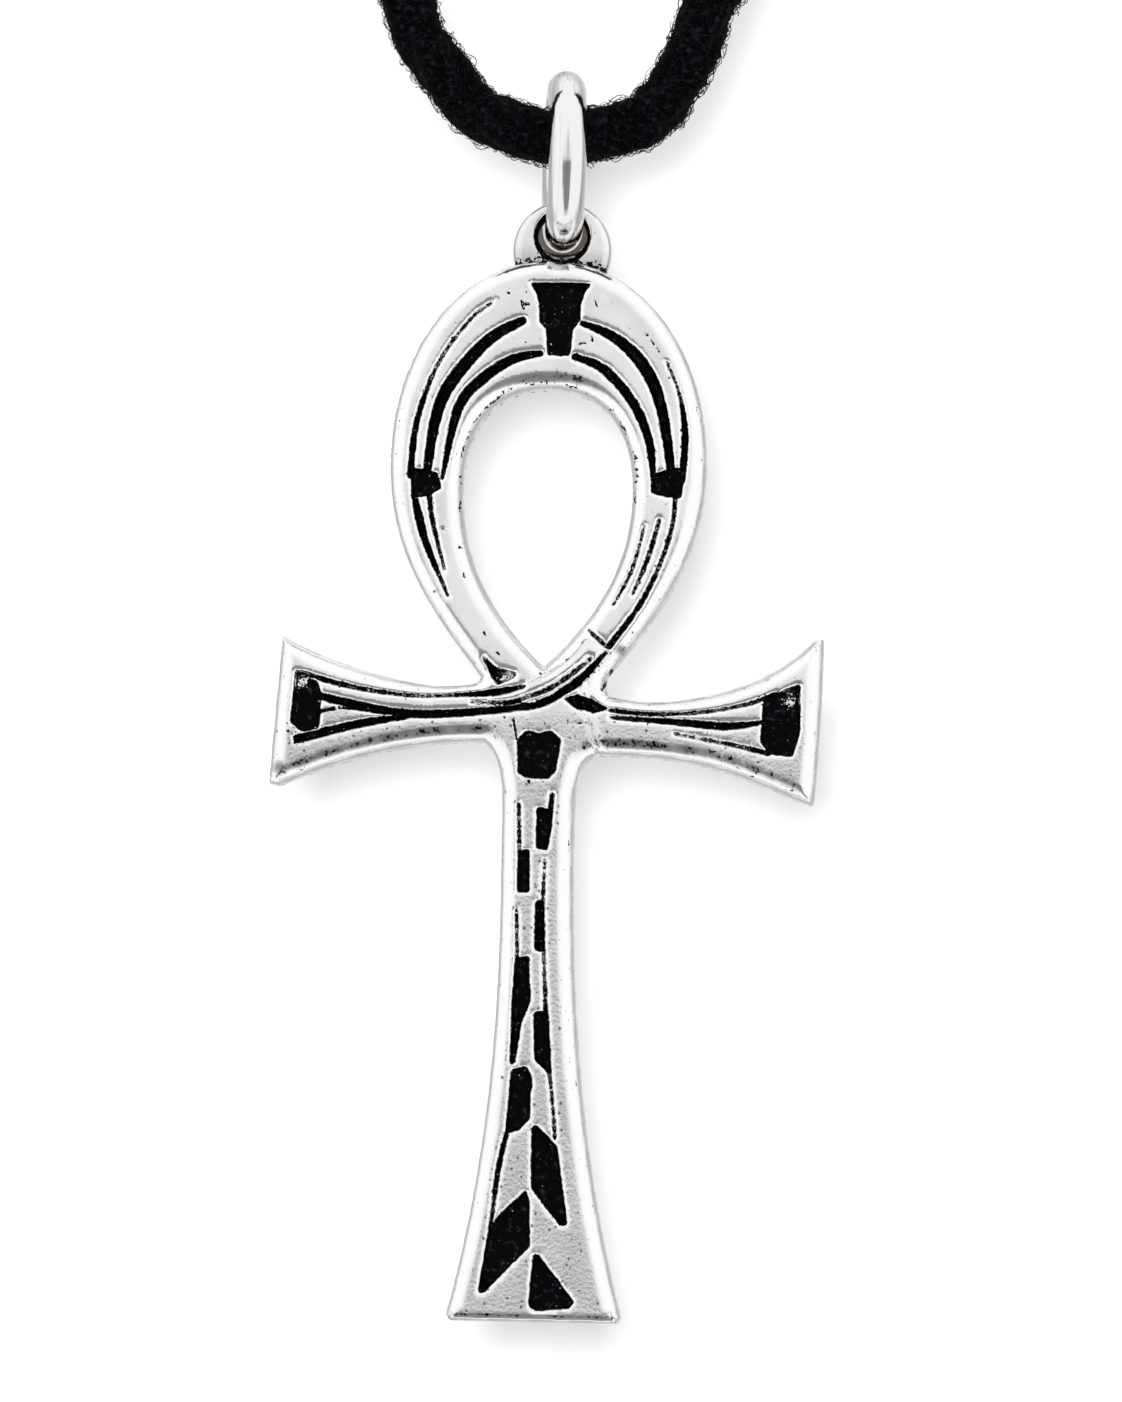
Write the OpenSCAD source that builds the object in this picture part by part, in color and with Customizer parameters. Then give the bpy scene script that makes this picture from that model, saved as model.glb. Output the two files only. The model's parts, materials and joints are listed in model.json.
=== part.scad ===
// Ankh pendant of cast silver on a looped cord, as it hangs when worn.
// Millimetres. +Z up, +X to the right, front of the pendant towards -Y.
// The origin is where the cord's knot rests on the nape of the neck.
// The ankh is drawn flat, x across and y up, with its bail's bore at 0,0, and is then stood up.

/* [Loop] */
// Width of the loop over its outer edges
loop_w = 14.4; // [13.6:0.1:16]
// Height from the top of the loop down to its widest place
loop_rise = 9.3; // [8.8:0.1:10.5]
// Height from the loop's widest place down to the crossing
loop_drop = 9.7; // [9.2:0.1:11]
// Width of the open eye
eye_w = 7.7; // [6.5:0.1:8.6]
// Height from the top of the eye down to its widest place
eye_rise = 4.6; // [4:0.1:5.2]
// Height from the eye's widest place down to its point
eye_drop = 8.05; // [7:0.05:8.4]
// Metal between the top of the loop and the top of the eye
crown_h = 5.9; // [5.2:0.1:6.2]
// Width of the axe-shaped recess in the crown
axe_w = 2.7; // [2:0.1:3.4]

/* [Arms] */
// Height from the top of the loop down to the middle of the arms
arm_level = 20.75; // [20.2:0.05:21.5]
// Reach of the left arm from the middle
left_reach = 12.15; // [10:0.05:15]
// Reach of the right arm from the middle
right_reach = 12.55; // [10:0.05:15]
// Height of the left arm's flared end
left_tip_h = 7.1; // [5.5:0.1:9]
// Height of the right arm's flared end
right_tip_h = 7.9; // [5.5:0.1:9]
// Height of each arm where it leaves the crossing
arm_root_h = 2.4; // [1.9:0.1:2.8]

/* [Stem] */
// Length from the middle of the arms to the foot
stem_len = 27.5; // [22:0.5:34]
// Width of the stem at its waist
waist_w = 3.3; // [2.9:0.1:4]
// Width of the flared foot
foot_w = 8.1; // [6:0.1:10]
// Sideways lean of the foot
foot_lean = 0.2; // [0:0.05:0.5]

/* [Section] */
// Thickness of the casting from front to back
body_t = 3; // [2.6:0.1:4]
// Width of the rounded shoulder around the front face
shoulder_w = 0.6; // [0.4:0.05:0.8]
// Depth of the rounded shoulder
shoulder_d = 0.8; // [0.5:0.05:1.2]
// Width of the small round around the back
back_edge = 0.2; // [0.1:0.05:0.4]
// Depth of the blackened recesses
recess_d = 0.7; // [0.3:0.05:1]
// Width of the broadest groove
groove_w = 0.5; // [0.3:0.05:0.6]
// Height of the strand that passes over the crossing
strand_h = 0.25; // [0.1:0.05:0.5]
// Span of the crossing's own grooves
crossing_w = 6; // [5.4:0.1:6.6]

/* [Bail] */
// Outer radius of the bail
bail_r = 2.25; // [2.15:0.05:2.6]
// Thickness of the bail from front to back
bail_t = 1.5; // [1.2:0.1:1.9]
// Radial play of the ring's wire in the bail's bore
bail_play = 0.335; // [0.25:0.005:0.4]
// Height of the bore's centre above the top of the loop
bail_rise = 1.1; // [1:0.05:1.3]
// Drop from the bore's centre to the centre of the bail's round
bail_drop = 0.6; // [0.4:0.05:0.7]
// Sideways place of the bail on the loop
bail_shift = 0.4; // [0:0.05:0.6]
// Countersink at each mouth of the bore
bail_mouth = 0.2; // [0.15:0.05:0.25]

/* [Jump ring] */
// Outer diameter of the jump ring
ring_d = 8.3; // [8:0.1:10]
// Diameter of its wire
wire_d = 1.73; // [1.4:0.01:1.8]
// Turn of the ring about the vertical
ring_turn = 5; // [0:1:8]
// Gap between the ring and the cord that it hangs on
ring_gap = 0.08; // [0.05:0.01:0.2]
// Gap between the wire and the top of the bail's bore
seat_gap = 0.1; // [0.08:0.01:0.2]

/* [Cord] */
// Diameter of the cord
cord_d = 2.6; // [2:0.1:2.8]
// Length of the knot that joins the cord's ends
knot_len = 8; // [7:0.2:8]
// Turns of cord around the knot
knot_turns = 3; // [1:1:3]

/* [Hidden] */
SILVER = "#c9c8c6";
BLACK = "#141418";
$fn = 48;

// Steps along a quarter of the loop, an arm's edge, an arm's end, the curve under it and the stem
loop_steps = 16;
arm_steps = 12;
tip_steps = 8;
armpit_steps = 5;
stem_steps = 16;
// Sides of the cord, and rings from one point of its route to the next
cord_sides = 8;
cord_span_steps = 2;

// Curve handles of the loop and the eye, as shares of their half width and height
loop_upper = [[0, 0], [0.57, 0], [1, -0.43], [1, -1]];
loop_lower = [[1, 0], [1, -0.43], [0.72, -0.7], [0.4, -1]];
eye_upper = [[0, 0], [0.66, 0], [1, -0.4], [1, -1]];
eye_lower = [[1, 0], [1, -0.36], [0.73, -0.67], [0, -1]];

// Heights, counted from the centre of the bail's bore
loop_top = -bail_rise;
loop_mid = loop_top - loop_rise;
eye_top = loop_top - crown_h;
eye_mid = eye_top - eye_rise;
arm_y = loop_top - arm_level;

// Arms: side, reach, end height, sag as a share of the root's height, slant and bulge of the end
// as shares of its height, and power of the flare
root_x = 2.6;
LEFT = [-1, left_reach, left_tip_h, 0.03, 0.035, 0, 2.05];
RIGHT = [1, right_reach, right_tip_h, 0.24, -0.02, 0.01, 2.6];
// The sag is gone at an arm's end, by this power
sag_power = 8;

// Stem: share of its length above the waist, power of its flare and lean at the waist
waist_at = 0.225;
stem_power = 2.4;
waist_lean = -0.1;

// Shoulders lean from each edge to the middle of its limb, by these shares of the way and of their own width
loop_core = 0.4;
eye_core = 0.6;
arm_core = 0.88;
end_core = [0.85, 0.45];
foot_core = [0.95, 0.9];
corner_lean = 1.15;
crease_lean = 0.8;
// Corners of the ends and the foot are nipped off by these shares of the limb's length and half width
end_nip = [0.025, 0.06];
foot_nip = [0.01, 0.06];
// Crease between the loop and an arm: [in, share of the arm's sag] at the loop, then where the arm starts,
// and how far out the crease's fillet reaches along the arm and its height
loop_crease = [0.05, 0.7];
crease_end = 0.04;
fillet = [0.3, 0.4];
// Shares of the stem's length that shape the curve under each arm, and how far it follows the arm
armpit = [0.03, 0.04, 0.16];
armpit_follow = 0.4;

// Ring and pendant, placed from the cord's lowest point
wire_r = wire_d / 2;
ring_r = ring_d / 2 - wire_r;
bore_r = wire_r + bail_play;
cord_r = cord_d / 2;
// The knot's turns press into each other and into its core, by shares of the cord
turn_press = 0.08;
core_press = 0.23;
core_play = 0.1;
knot_pitch = cord_d * (1 - turn_press);
wrap_r = cord_d * (1 - core_press);

// Route of the cord from the knot's right end down to its lowest point, mirrored for the left
ROUTE = [
    [knot_len / 2, 3.3, 0], [10, 3, -0.3], [20, 0.5, -1.5], [32, -6, -4.5], [44, -17, -9], [53, -31, -16],
    [59, -47, -26], [62, -64, -38], [62, -81, -53], [60, -96, -70], [56, -108, -90],
    [50, -117, -112], [40, -125, -140], [29.5, -132, -168], [19, -137.5, -196],
    [11, -141, -218.5], [8.6, -141.6, -225.5], [7, -141.9, -230], [6, -142, -232.2],
    [4.4, -142, -234.4], [2.3, -142, -235.6], [0, -142, -236]
];
cord_low = ROUTE[len(ROUTE) - 1];
ring_z = cord_low.z + cord_r + ring_gap - (ring_r - wire_r);
bore_z = ring_z - ring_r + wire_r + seat_gap - bore_r;

// Grooves of the loop: side, then [way round from top to crossing, share across the band, width share]
LOOP_GROOVES = [
    [-1, [[0.13, 0.77, 0.1], [0.19, 0.75, 0.15], [0.3, 0.71, 0.2], [0.42, 0.7, 0.4], [0.52, 0.71, 0.45]]],
    [-1, [[0.06, 0.55, 0.6], [0.15, 0.51, 0.9], [0.27, 0.48, 1], [0.37, 0.49, 0.9], [0.5, 0.49, 0.6]]],
    [-1, [[0.02, 0.27, 0.4], [0.1, 0.27, 0.7], [0.21, 0.26, 0.85], [0.32, 0.28, 0.75], [0.5, 0.28, 0.25]]],
    [-1, [[0.55, 0.67, 0.35], [0.6, 0.64, 0.6], [0.67, 0.62, 0.5], [0.8, 0.64, 0.1]]],
    [-1, [[0.54, 0.46, 0.3], [0.61, 0.45, 0.3], [0.73, 0.49, 0.1]]],
    [1, [[0.3, 0.79, 0.1], [0.37, 0.78, 0.2], [0.44, 0.74, 0.5], [0.52, 0.68, 0.4]]],
    [1, [[0.07, 0.54, 0.35], [0.16, 0.55, 0.75], [0.26, 0.56, 1], [0.36, 0.53, 0.85], [0.5, 0.54, 0.6]]],
    [1, [[0.06, 0.27, 0.4], [0.16, 0.27, 0.7], [0.29, 0.26, 0.7], [0.4, 0.28, 0.6], [0.49, 0.29, 0.35]]],
    [1, [[0.54, 0.6, 0.3], [0.61, 0.63, 0.25], [0.71, 0.64, 0.25], [0.82, 0.67, 0.35], [0.93, 0.67, 0.45]]],
    [1, [[0.59, 0.43, 0.15], [0.69, 0.42, 0.3], [0.79, 0.46, 0.1]]],
    [1, [[0.6, 0.23, 0.1], [0.72, 0.25, 0.25], [0.82, 0.26, 0.1]]],
    [1, [[0.89, 0.15, 0.1], [0.91, 0.4, 0.25], [0.93, 0.67, 0.25]]]
];
// Square pits at the loop's widest places, in the same shares
LOOP_PITS = [
    [-1, [[0.5, 0.7], [0.49, 0.34], [0.52, 0.3], [0.545, 0.46], [0.56, 0.69]]],
    [1, [[0.48, 0.28], [0.49, 0.7], [0.55, 0.68], [0.54, 0.49], [0.52, 0.27]]]
];
// Grooves of each arm: [way out to the end, share of half height, width share]
LEFT_GROOVES = [
    [[-0.19, 1.12, 0.15], [-0.05, 0.86, 0.5], [0.21, 0.64, 0.15], [0.36, 0.55, 0.2], [0.62, 0.54, 0.3],
        [0.88, 0.57, 0.35]],
    [[-0.2, 0.36, 0.5], [0.05, 0.1, 0.55], [0.34, -0.02, 0.6], [0.59, 0.14, 0.65], [0.8, 0.27, 0.5]],
    [[0.34, -0.05, 0.4], [0.62, -0.28, 0.6], [0.9, -0.43, 0.7]]
];
RIGHT_GROOVES = [
    [[0.04, 0.69, 0.3], [0.23, 0.53, 0.3], [0.45, 0.51, 0.2], [0.65, 0.54, 0.2], [0.81, 0.57, 0.35]],
    [[0.05, 0.41, 0.2], [0.33, 0.26, 0.45], [0.58, 0.1, 0.55], [0.75, 0.14, 0.2]],
    [[0.34, -0.13, 0.1], [0.58, -0.32, 0.2], [0.78, -0.41, 0.35]]
];
// Pits at the arms' ends, in the same shares
LEFT_PIT = [[0.9, 0.59], [0.8, 0.51], [0.78, 0.26], [0.79, -0.29], [0.86, -0.33], [0.92, -0.17]];
RIGHT_PIT = [[0.75, 0.55], [0.91, 0.56], [0.91, -0.11], [0.88, -0.41], [0.77, -0.41], [0.74, -0.18]];
// Grooves of the crossing, from the middle of the arms: [x, y and width share]
CROSSING_GROOVES = [
    [[0.48, 0.48, 0.2], [0.3, 0.28, 0.6], [0.17, 0.18, 0.55], [0.02, 0.09, 0.45], [-0.13, 0.05, 0.55]],
    [[0.37, 0.43, 0.1], [0.2, 0.29, 0.2], [0.05, 0.19, 0.2], [-0.1, 0.13, 0.2], [-0.26, 0.08, 0.2],
        [-0.54, 0.08, 0.1]]
];
CROSSING_PITS = [
    [[-0.46, 0.43], [-0.38, 0.27], [-0.34, 0.22], [-0.22, 0.27], [-0.2, 0.31], [-0.35, 0.34]],
    [[0.17, 0.12], [0.26, 0.15], [0.38, 0.11], [0.5, 0.05], [0.38, 0.02], [0.25, 0.06]]
];
// The strand that passes over the crossing: [x, y and width in shares of the crossing]
OVER_STRAND = [[0.41, 0.52, 0.2], [0.26, 0.34, 0.2], [0.07, 0.23, 0.17], [-0.13, 0.16, 0.12], [-0.4, 0.11, 0.06]];
// Axe recess of the crown: [share of the crown's height, share of the axe's half width]
AXE = [[0.19, 1], [0.26, 0.8], [0.36, 0.66], [0.48, 0.66], [0.54, 0.42], [0.74, 0.36]];
// Cells of the stem: [share of its length, share of its half width]
STEM_PITS = [
    [[0.042, -0.58], [0.029, -0.32], [0.033, 0], [0.029, 0.32], [0.042, 0.58], [0.093, 0.46], [0.105, 0.24],
        [0.104, -0.36], [0.096, -0.54]],
    [[0.155, 0], [0.158, 0.3], [0.129, 0.36], [0.129, 0.44], [0.18, 0.39], [0.224, 0.28], [0.22, 0]],
    [[0.227, -0.49], [0.224, -0.21], [0.293, -0.2], [0.293, -0.52]],
    [[0.309, 0], [0.307, 0.2], [0.391, 0.23], [0.388, -0.02]],
    [[0.404, -0.52], [0.4, -0.19], [0.478, -0.16], [0.504, -0.32], [0.576, -0.46], [0.576, -0.55],
        [0.478, -0.57]],
    [[0.493, -0.02], [0.489, 0.3], [0.595, 0.36], [0.569, 0.01]],
    [[0.587, -0.5], [0.582, -0.19], [0.595, -0.1], [0.667, -0.1], [0.685, -0.32], [0.691, -0.54]],
    [[0.68, -0.03], [0.678, 0.05], [0.711, 0.41], [0.838, 0.5], [0.84, 0.4], [0.78, -0.03]],
    [[0.785, -0.13], [0.798, -0.09], [0.875, -0.06], [0.953, -0.6], [0.953, -0.66], [0.842, -0.64]],
    [[0.889, 0.01], [0.891, 0.07], [0.965, 0.48], [0.975, 0.42], [0.98, 0], [0.972, -0.04]]
];
// Fine lines that join the cells: [share of the length, share of the half width, width share]
STEM_GROOVES = [
    [[0.147, -0.52, 0.2], [0.23, -0.47, 0.2]],
    [[0.238, 0.23, 0.1], [0.312, 0.18, 0.2]],
    [[0.322, -0.53, 0.15], [0.41, -0.48, 0.2]],
    [[0.386, 0.21, 0.15], [0.493, 0.26, 0.25]],
    [[0.59, 0.33, 0.2], [0.645, 0.38, 0.15], [0.7, 0.4, 0.2]],
    [[0.688, -0.52, 0.3], [0.751, -0.62, 0.35], [0.848, -0.63, 0.2]]
];

// A point of a cubic curve with four handles
function cubic(p, t) =
    let (k = 1 - t) k * k * k * p[0] + 3 * k * k * t * p[1] + 3 * k * t * t * p[2] + t * t * t * p[3];
function times(p, a, b) = [p.x * a, p.y * b];
function unit(v) = v / norm(v);
// A smooth curve through the rows of a table, closed off straight at both ends
function spline_at(p, i, t) =
    let (a = p[max(i - 1, 0)], b = p[i], c = p[i + 1], d = p[min(i + 2, len(p) - 1)])
    b + t * ((c - a) / 2 + t * ((2 * a - 5 * b + 4 * c - d) / 2 + t * (3 * b - a - 3 * c + d) / 2));
function spline(p, steps) =
    concat([for (i = [0 : len(p) - 2], k = [0 : steps - 1]) spline_at(p, i, k / steps)], [p[len(p) - 1]]);

// Outer and inner edge of the loop's right half, s = 0 at the top, 0.5 at the widest place, 1 at the crossing
function loop_edge(s) = s <= 0.5
    ? [0, loop_top] + times(cubic(loop_upper, 2 * s), loop_w / 2, loop_rise)
    : [0, loop_mid] + times(cubic(loop_lower, 2 * s - 1), loop_w / 2, loop_drop);
function eye_edge(s) = s <= 0.5
    ? [0, eye_top] + times(cubic(eye_upper, 2 * s), eye_w / 2, eye_rise)
    : [0, eye_mid] + times(cubic(eye_lower, 2 * s - 1), eye_w / 2, eye_drop);
function loop_at(side, s, t) = times((1 - t) * eye_edge(s) + t * loop_edge(s), side, 1);

// Half height, middle and place of an arm, s = 0 at its root and 1 at its end
function arm_half(arm, s) = (arm_root_h + (arm[2] - arm_root_h) * pow(max(s, 0), arm[6])) / 2;
function arm_sag(arm) = arm[3] * arm_root_h;
function arm_mid(arm, s) = arm_y - arm_sag(arm) * (1 - pow(max(s, 0), sag_power));
function arm_at(arm, s, t) =
    [arm[0] * (root_x + s * (arm[1] - root_x)), arm_mid(arm, s) + t * arm_half(arm, s)];
function arm_end_at(arm, t) =
    arm_at(arm, 1, t) + [arm[0] * arm[2] * (arm[5] * (1 - t * t) - arm[4] * t), 0];

// Half width, middle and place of the stem, v = 0 at the arms and 1 at the foot
function stem_flare(v) = max(0, (v - waist_at) / (1 - waist_at));
function stem_half(v) = (waist_w + (foot_w - waist_w) * pow(stem_flare(v), stem_power)) / 2;
function stem_at(v, t) =
    [waist_lean + (foot_lean - waist_lean) * stem_flare(v) + t * stem_half(v), arm_y - v * stem_len];
function crossing_at(row) = [row[0] * crossing_w, arm_y + row[1] * crossing_w];

// Each rim point of the outline has a core point that its shoulder leans to, and a share of the shoulder
function loop_rim(side) = [for (i = [0 : loop_steps * 2]) let (s = i / loop_steps / 2)
    [loop_at(side, s, 1), loop_at(side, s, loop_core), 1]];
function notch_rim(arm) = [
    [loop_at(arm[0], 1, 1) - [loop_crease.x * arm[0], loop_crease.y * arm_sag(arm)], [0, arm_y], crease_lean],
    [arm_edge_at(arm, crease_end, 1), [0, arm_y], crease_lean]
];
function arm_edge_at(arm, s, t) =
    arm_at(arm, s, t) + [0, t > 0 ? fillet.y * pow(max(0, 1 - s / fillet.x), 2) : 0];
function arm_rim(arm, t) = [for (i = [1 : arm_steps - 1]) let (s = i / arm_steps)
    [arm_edge_at(arm, s, t), arm_at(arm, min(s, arm_core), 0), 1]];
function corner_rim(arm, t) =
    [arm_at(arm, 1 - end_nip.x, t), arm_at(arm, end_core.x, t * end_core.y), corner_lean];
function end_rim(arm) = concat(
    [corner_rim(arm, 1)],
    [for (i = [0 : tip_steps]) let (t = (1 - end_nip.y) * (1 - 2 * i / tip_steps))
        [arm_end_at(arm, t), arm_at(arm, end_core.x, t * end_core.y), i % tip_steps == 0 ? corner_lean : 1]],
    [corner_rim(arm, -1)]
);
function armpit_rim(arm) =
    let (root = arm_at(arm, 0, -1), under = [0, -arm_root_h / 2],
        hand = [root, root * armpit_follow + (stem_at(armpit[0], arm[0]) + under) * (1 - armpit_follow),
            stem_at(armpit[1], arm[0]) + under, stem_at(armpit[2], arm[0])])
    [for (i = [0 : armpit_steps]) [cubic(hand, i / armpit_steps), [0, arm_y - arm_root_h], crease_lean]];
function stem_rim(side) = concat(
    [for (i = [1 : stem_steps]) let (v = armpit[2] + (1 - foot_nip.x - armpit[2]) * i / stem_steps)
        [stem_at(v, side), stem_at(min(v, foot_core.x), 0), i == stem_steps ? corner_lean : 1]],
    [[stem_at(1, side * (1 - foot_nip.y)), stem_at(foot_core.x, 0), corner_lean]]
);
function back_way(list) = [for (i = [len(list) - 1 : -1 : 0]) list[i]];
function half_rim(arm) = concat(loop_rim(arm[0]), notch_rim(arm), arm_rim(arm, 1), end_rim(arm),
    back_way(arm_rim(arm, -1)), armpit_rim(arm), stem_rim(arm[0]));
function whole_rim() = let (right = half_rim(RIGHT), left = half_rim(LEFT))
    concat(left, [[stem_at(1, 0), stem_at(foot_core.y, 0), 1]],
        [for (i = [len(right) - 1 : -1 : 1]) right[i]]);
function eye_rim() = let (half = [for (i = [0 : loop_steps * 2]) let (s = i / loop_steps / 2)
        [loop_at(-1, s, 0), loop_at(-1, s, eye_core), 1]])
    concat(half, [for (i = [len(half) - 2 : -1 : 1]) [times(half[i][0], -1, 1), times(half[i][1], -1, 1), 1]]);
function lean(row, d) = row[0] + unit(row[1] - row[0]) * d * row[2];

// Share of the thickness and inset of each line of the edge, from the back round the shoulder to the front
shoulder_turns = [0, 30, 60, 90];
edge_profile = concat(
    [[0, back_edge], [back_edge / body_t, 0]],
    [for (a = shoulder_turns) [1 - shoulder_d * (1 - sin(a)) / body_t, shoulder_w * (1 - cos(a))]]
);
// The eye is cut past both faces, by a share of the thickness
past = 0.3;

// A closed solid through one closed outline at several heights
module lofted(layers) {
    n = len(layers[0]);
    top = len(layers) - 1;
    polyhedron(
        points = [for (layer = layers, p = layer) p],
        faces = concat(
            [[for (i = [0 : n - 1]) i]],
            [for (k = [0 : top - 1], i = [0 : n - 1]) let (j = (i + 1) % n)
                [k * n + i, k * n + n + i, k * n + n + j, k * n + j]],
            [[for (i = [n - 1 : -1 : 0]) top * n + i]]
        )
    );
}

module ankh_blank() {
    rim = whole_rim();
    lofted([for (e = edge_profile) [for (row = rim) let (p = lean(row, e[1])) [p.x, p.y, e[0]]]]);
}

module eye_cut() {
    rim = eye_rim();
    heights = concat([[-past, back_edge]], edge_profile, [[1 + past, shoulder_w]]);
    lofted([for (e = heights) [for (row = rim) let (p = lean(row, e[1])) [p.x, p.y, e[0]]]]);
}

// A groove of changing width along a smooth line; each row is [x, y, width]
module stroke(rows) {
    line = spline(rows, 4);
    last = len(line) - 1;
    side = [for (i = [0 : last])
        let (a = line[max(i - 1, 0)], b = line[min(i + 1, last)], d = unit([b.x - a.x, b.y - a.y]))
        [-d.y, d.x] * line[i][2] / 2];
    polygon(concat(
        [for (i = [0 : last]) [line[i].x, line[i].y] + side[i]],
        [for (i = [last : -1 : 0]) [line[i].x, line[i].y] - side[i]]
    ));
}

module loop_recesses() {
    for (g = LOOP_GROOVES)
        stroke([for (row = g[1]) let (p = loop_at(g[0], row[0], row[1])) [p.x, p.y, row[2] * groove_w]]);
    for (pit = LOOP_PITS)
        polygon([for (row = pit[1]) loop_at(pit[0], row[0], row[1])]);
    translate([bail_shift, loop_top])
        polygon(concat(
            [for (row = AXE) [row[1] * axe_w / 2, -row[0] * crown_h]],
            [for (row = back_way(AXE)) [-row[1] * axe_w / 2, -row[0] * crown_h]]
        ));
}

module arm_recesses(arm, grooves, pit) {
    for (g = grooves)
        stroke([for (row = g) let (p = arm_at(arm, row[0], row[1])) [p.x, p.y, row[2] * groove_w]]);
    polygon([for (row = pit) arm_at(arm, row[0], row[1])]);
}

module stem_recesses() {
    for (g = STEM_GROOVES)
        stroke([for (row = g) let (p = stem_at(row[0], row[1])) [p.x, p.y, row[2] * groove_w]]);
    for (pit = STEM_PITS)
        polygon([for (row = pit) stem_at(row[0], row[1])]);
}

module crossing_recesses() {
    for (g = CROSSING_GROOVES)
        stroke([for (row = g) let (p = crossing_at(row)) [p.x, p.y, row[2] * groove_w]]);
    for (pit = CROSSING_PITS)
        polygon([for (row = pit) crossing_at(row)]);
}

module over_strand() {
    translate([0, 0, 0.5])
        linear_extrude(0.5 + strand_h / body_t)
            stroke([for (row = OVER_STRAND) let (p = crossing_at(row)) [p.x, p.y, row[2] * crossing_w]]);
}

module recesses() {
    translate([0, 0, 1 - recess_d / body_t])
        linear_extrude(1) {
            loop_recesses();
            arm_recesses(LEFT, LEFT_GROOVES, LEFT_PIT);
            arm_recesses(RIGHT, RIGHT_GROOVES, RIGHT_PIT);
            stem_recesses();
            crossing_recesses();
        }
}

// The casting without its bail: drawn in shares of its thickness, then brought to its real one
module casting() {
    translate([0, 0, -body_t / 2])
        resize([0, 0, body_t + strand_h])
            difference() {
                union() {
                    ankh_blank();
                    over_strand();
                }
                eye_cut();
                recesses();
            }
}

module bail() {
    translate([bail_shift, -bail_drop, -bail_t / 2])
        cylinder(r = bail_r, h = bail_t);
}

module bail_bore() {
    translate([bail_shift, 0, -body_t])
        cylinder(r = bore_r, h = body_t * 2);
    for (face = [0, 180])
        rotate([0, face, 0])
            translate([face == 0 ? bail_shift : -bail_shift, 0, bail_t / 2 - bail_mouth])
                cylinder(r1 = bore_r, r2 = bore_r + bail_mouth * 2, h = bail_mouth * 2);
}

module ankh() {
    color(SILVER)
        translate([-bail_shift, cord_low.y, bore_z])
            rotate([90, 0, 0])
                difference() {
                    union() {
                        casting();
                        bail();
                    }
                    bail_bore();
                }
}

module jump_ring() {
    color(SILVER)
        translate([0, cord_low.y, ring_z])
            rotate([0, 90, ring_turn])
                rotate_extrude()
                    translate([ring_r, 0])
                        circle(r = wire_r);
}

// Tube along the route: the loop's plane gives the direction that each section is squared to
loop_normal = unit([0, 0.857, -0.515]);
function mirrored(p) = [-p.x, p.y, p.z];
function cord_line() = let (half = spline(ROUTE, cord_span_steps), n = len(half))
    concat(half, [for (i = [n - 2 : -1 : 0]) mirrored(half[i])]);
function tangent(line, i) = let (last = len(line) - 1)
    i == 0 || i == last ? [1, 0, 0] : unit(line[i + 1] - line[i - 1]);
function section_at(line, i) =
    let (t = tangent(line, i), across = unit(loop_normal - (loop_normal * t) * t), up = cross(t, across))
    [for (k = [0 : cord_sides - 1]) let (a = 360 * k / cord_sides)
        line[i] + cord_r * (cos(a) * across + sin(a) * up)];

module cord() {
    line = cord_line();
    color(BLACK)
        lofted([for (i = [0 : len(line) - 1]) section_at(line, i)]);
}

module knot() {
    color(BLACK)
        translate([0, ROUTE[0].y, ROUTE[0].z])
            rotate([0, 90, 0]) {
                cylinder(r = cord_r + core_play, h = knot_len, center = true);
                for (k = [0 : knot_turns - 1])
                    translate([0, 0, (k - (knot_turns - 1) / 2) * knot_pitch])
                        rotate_extrude()
                            union() {
                                translate([wrap_r, 0])
                                    circle(r = cord_r);
                                translate([0, -knot_pitch / 2])
                                    square([wrap_r, knot_pitch]);
                            }
            }
}

ankh();
jump_ring();
cord();
knot();
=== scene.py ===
"""Looks of a cast silver ankh on a plied black cord: relief, ring, cord, knot and studio."""

from __future__ import annotations

import json
import logging
import math
from dataclasses import dataclass, field
from enum import Enum

import bmesh
import bpy
import numpy as np
from mathutils import Matrix, Vector, geometry, kdtree, noise


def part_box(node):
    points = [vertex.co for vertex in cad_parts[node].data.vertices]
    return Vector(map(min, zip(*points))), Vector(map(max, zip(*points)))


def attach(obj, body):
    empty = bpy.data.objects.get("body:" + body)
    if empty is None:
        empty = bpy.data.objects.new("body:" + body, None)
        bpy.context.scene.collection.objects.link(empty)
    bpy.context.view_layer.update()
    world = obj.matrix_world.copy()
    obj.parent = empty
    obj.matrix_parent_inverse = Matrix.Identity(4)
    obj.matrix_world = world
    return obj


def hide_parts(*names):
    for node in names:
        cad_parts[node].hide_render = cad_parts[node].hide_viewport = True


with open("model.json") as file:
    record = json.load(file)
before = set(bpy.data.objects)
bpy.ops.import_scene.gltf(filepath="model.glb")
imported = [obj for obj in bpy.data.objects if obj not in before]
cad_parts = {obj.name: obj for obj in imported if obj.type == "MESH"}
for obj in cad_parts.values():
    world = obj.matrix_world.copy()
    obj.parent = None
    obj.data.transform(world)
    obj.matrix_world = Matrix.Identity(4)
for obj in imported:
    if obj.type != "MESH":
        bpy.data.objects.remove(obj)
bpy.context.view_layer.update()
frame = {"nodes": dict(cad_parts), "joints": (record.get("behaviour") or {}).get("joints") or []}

LOG = logging.getLogger("ankh")
MM = 0.001
SMOOTH = {"interpolation_type": "SMOOTHSTEP"}
COLOURS = {"data_type": "RGBA"}


class Finish(Enum):
    """Names of the record's finish slots; the pieces here build their own materials and don't use them."""

    CAST = "cast_silver"
    WIRE = "silver_wire"
    CORD = "black_cord"


def linear(colour: str) -> tuple[float, float, float, float]:
    """Turns an sRGB hex colour to linear light.

    Args:
        colour: six hex digits after a hash.

    Returns:
        Red, green, blue and an alpha of 1.
    """
    values = [int(colour[i:i + 2], 16) / 255 for i in (1, 3, 5)]
    rgb = [v / 12.92 if v <= 0.04045 else ((v + 0.055) / 1.055) ** 2.4 for v in values]
    return (rgb[0], rgb[1], rgb[2], 1.0)


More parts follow.
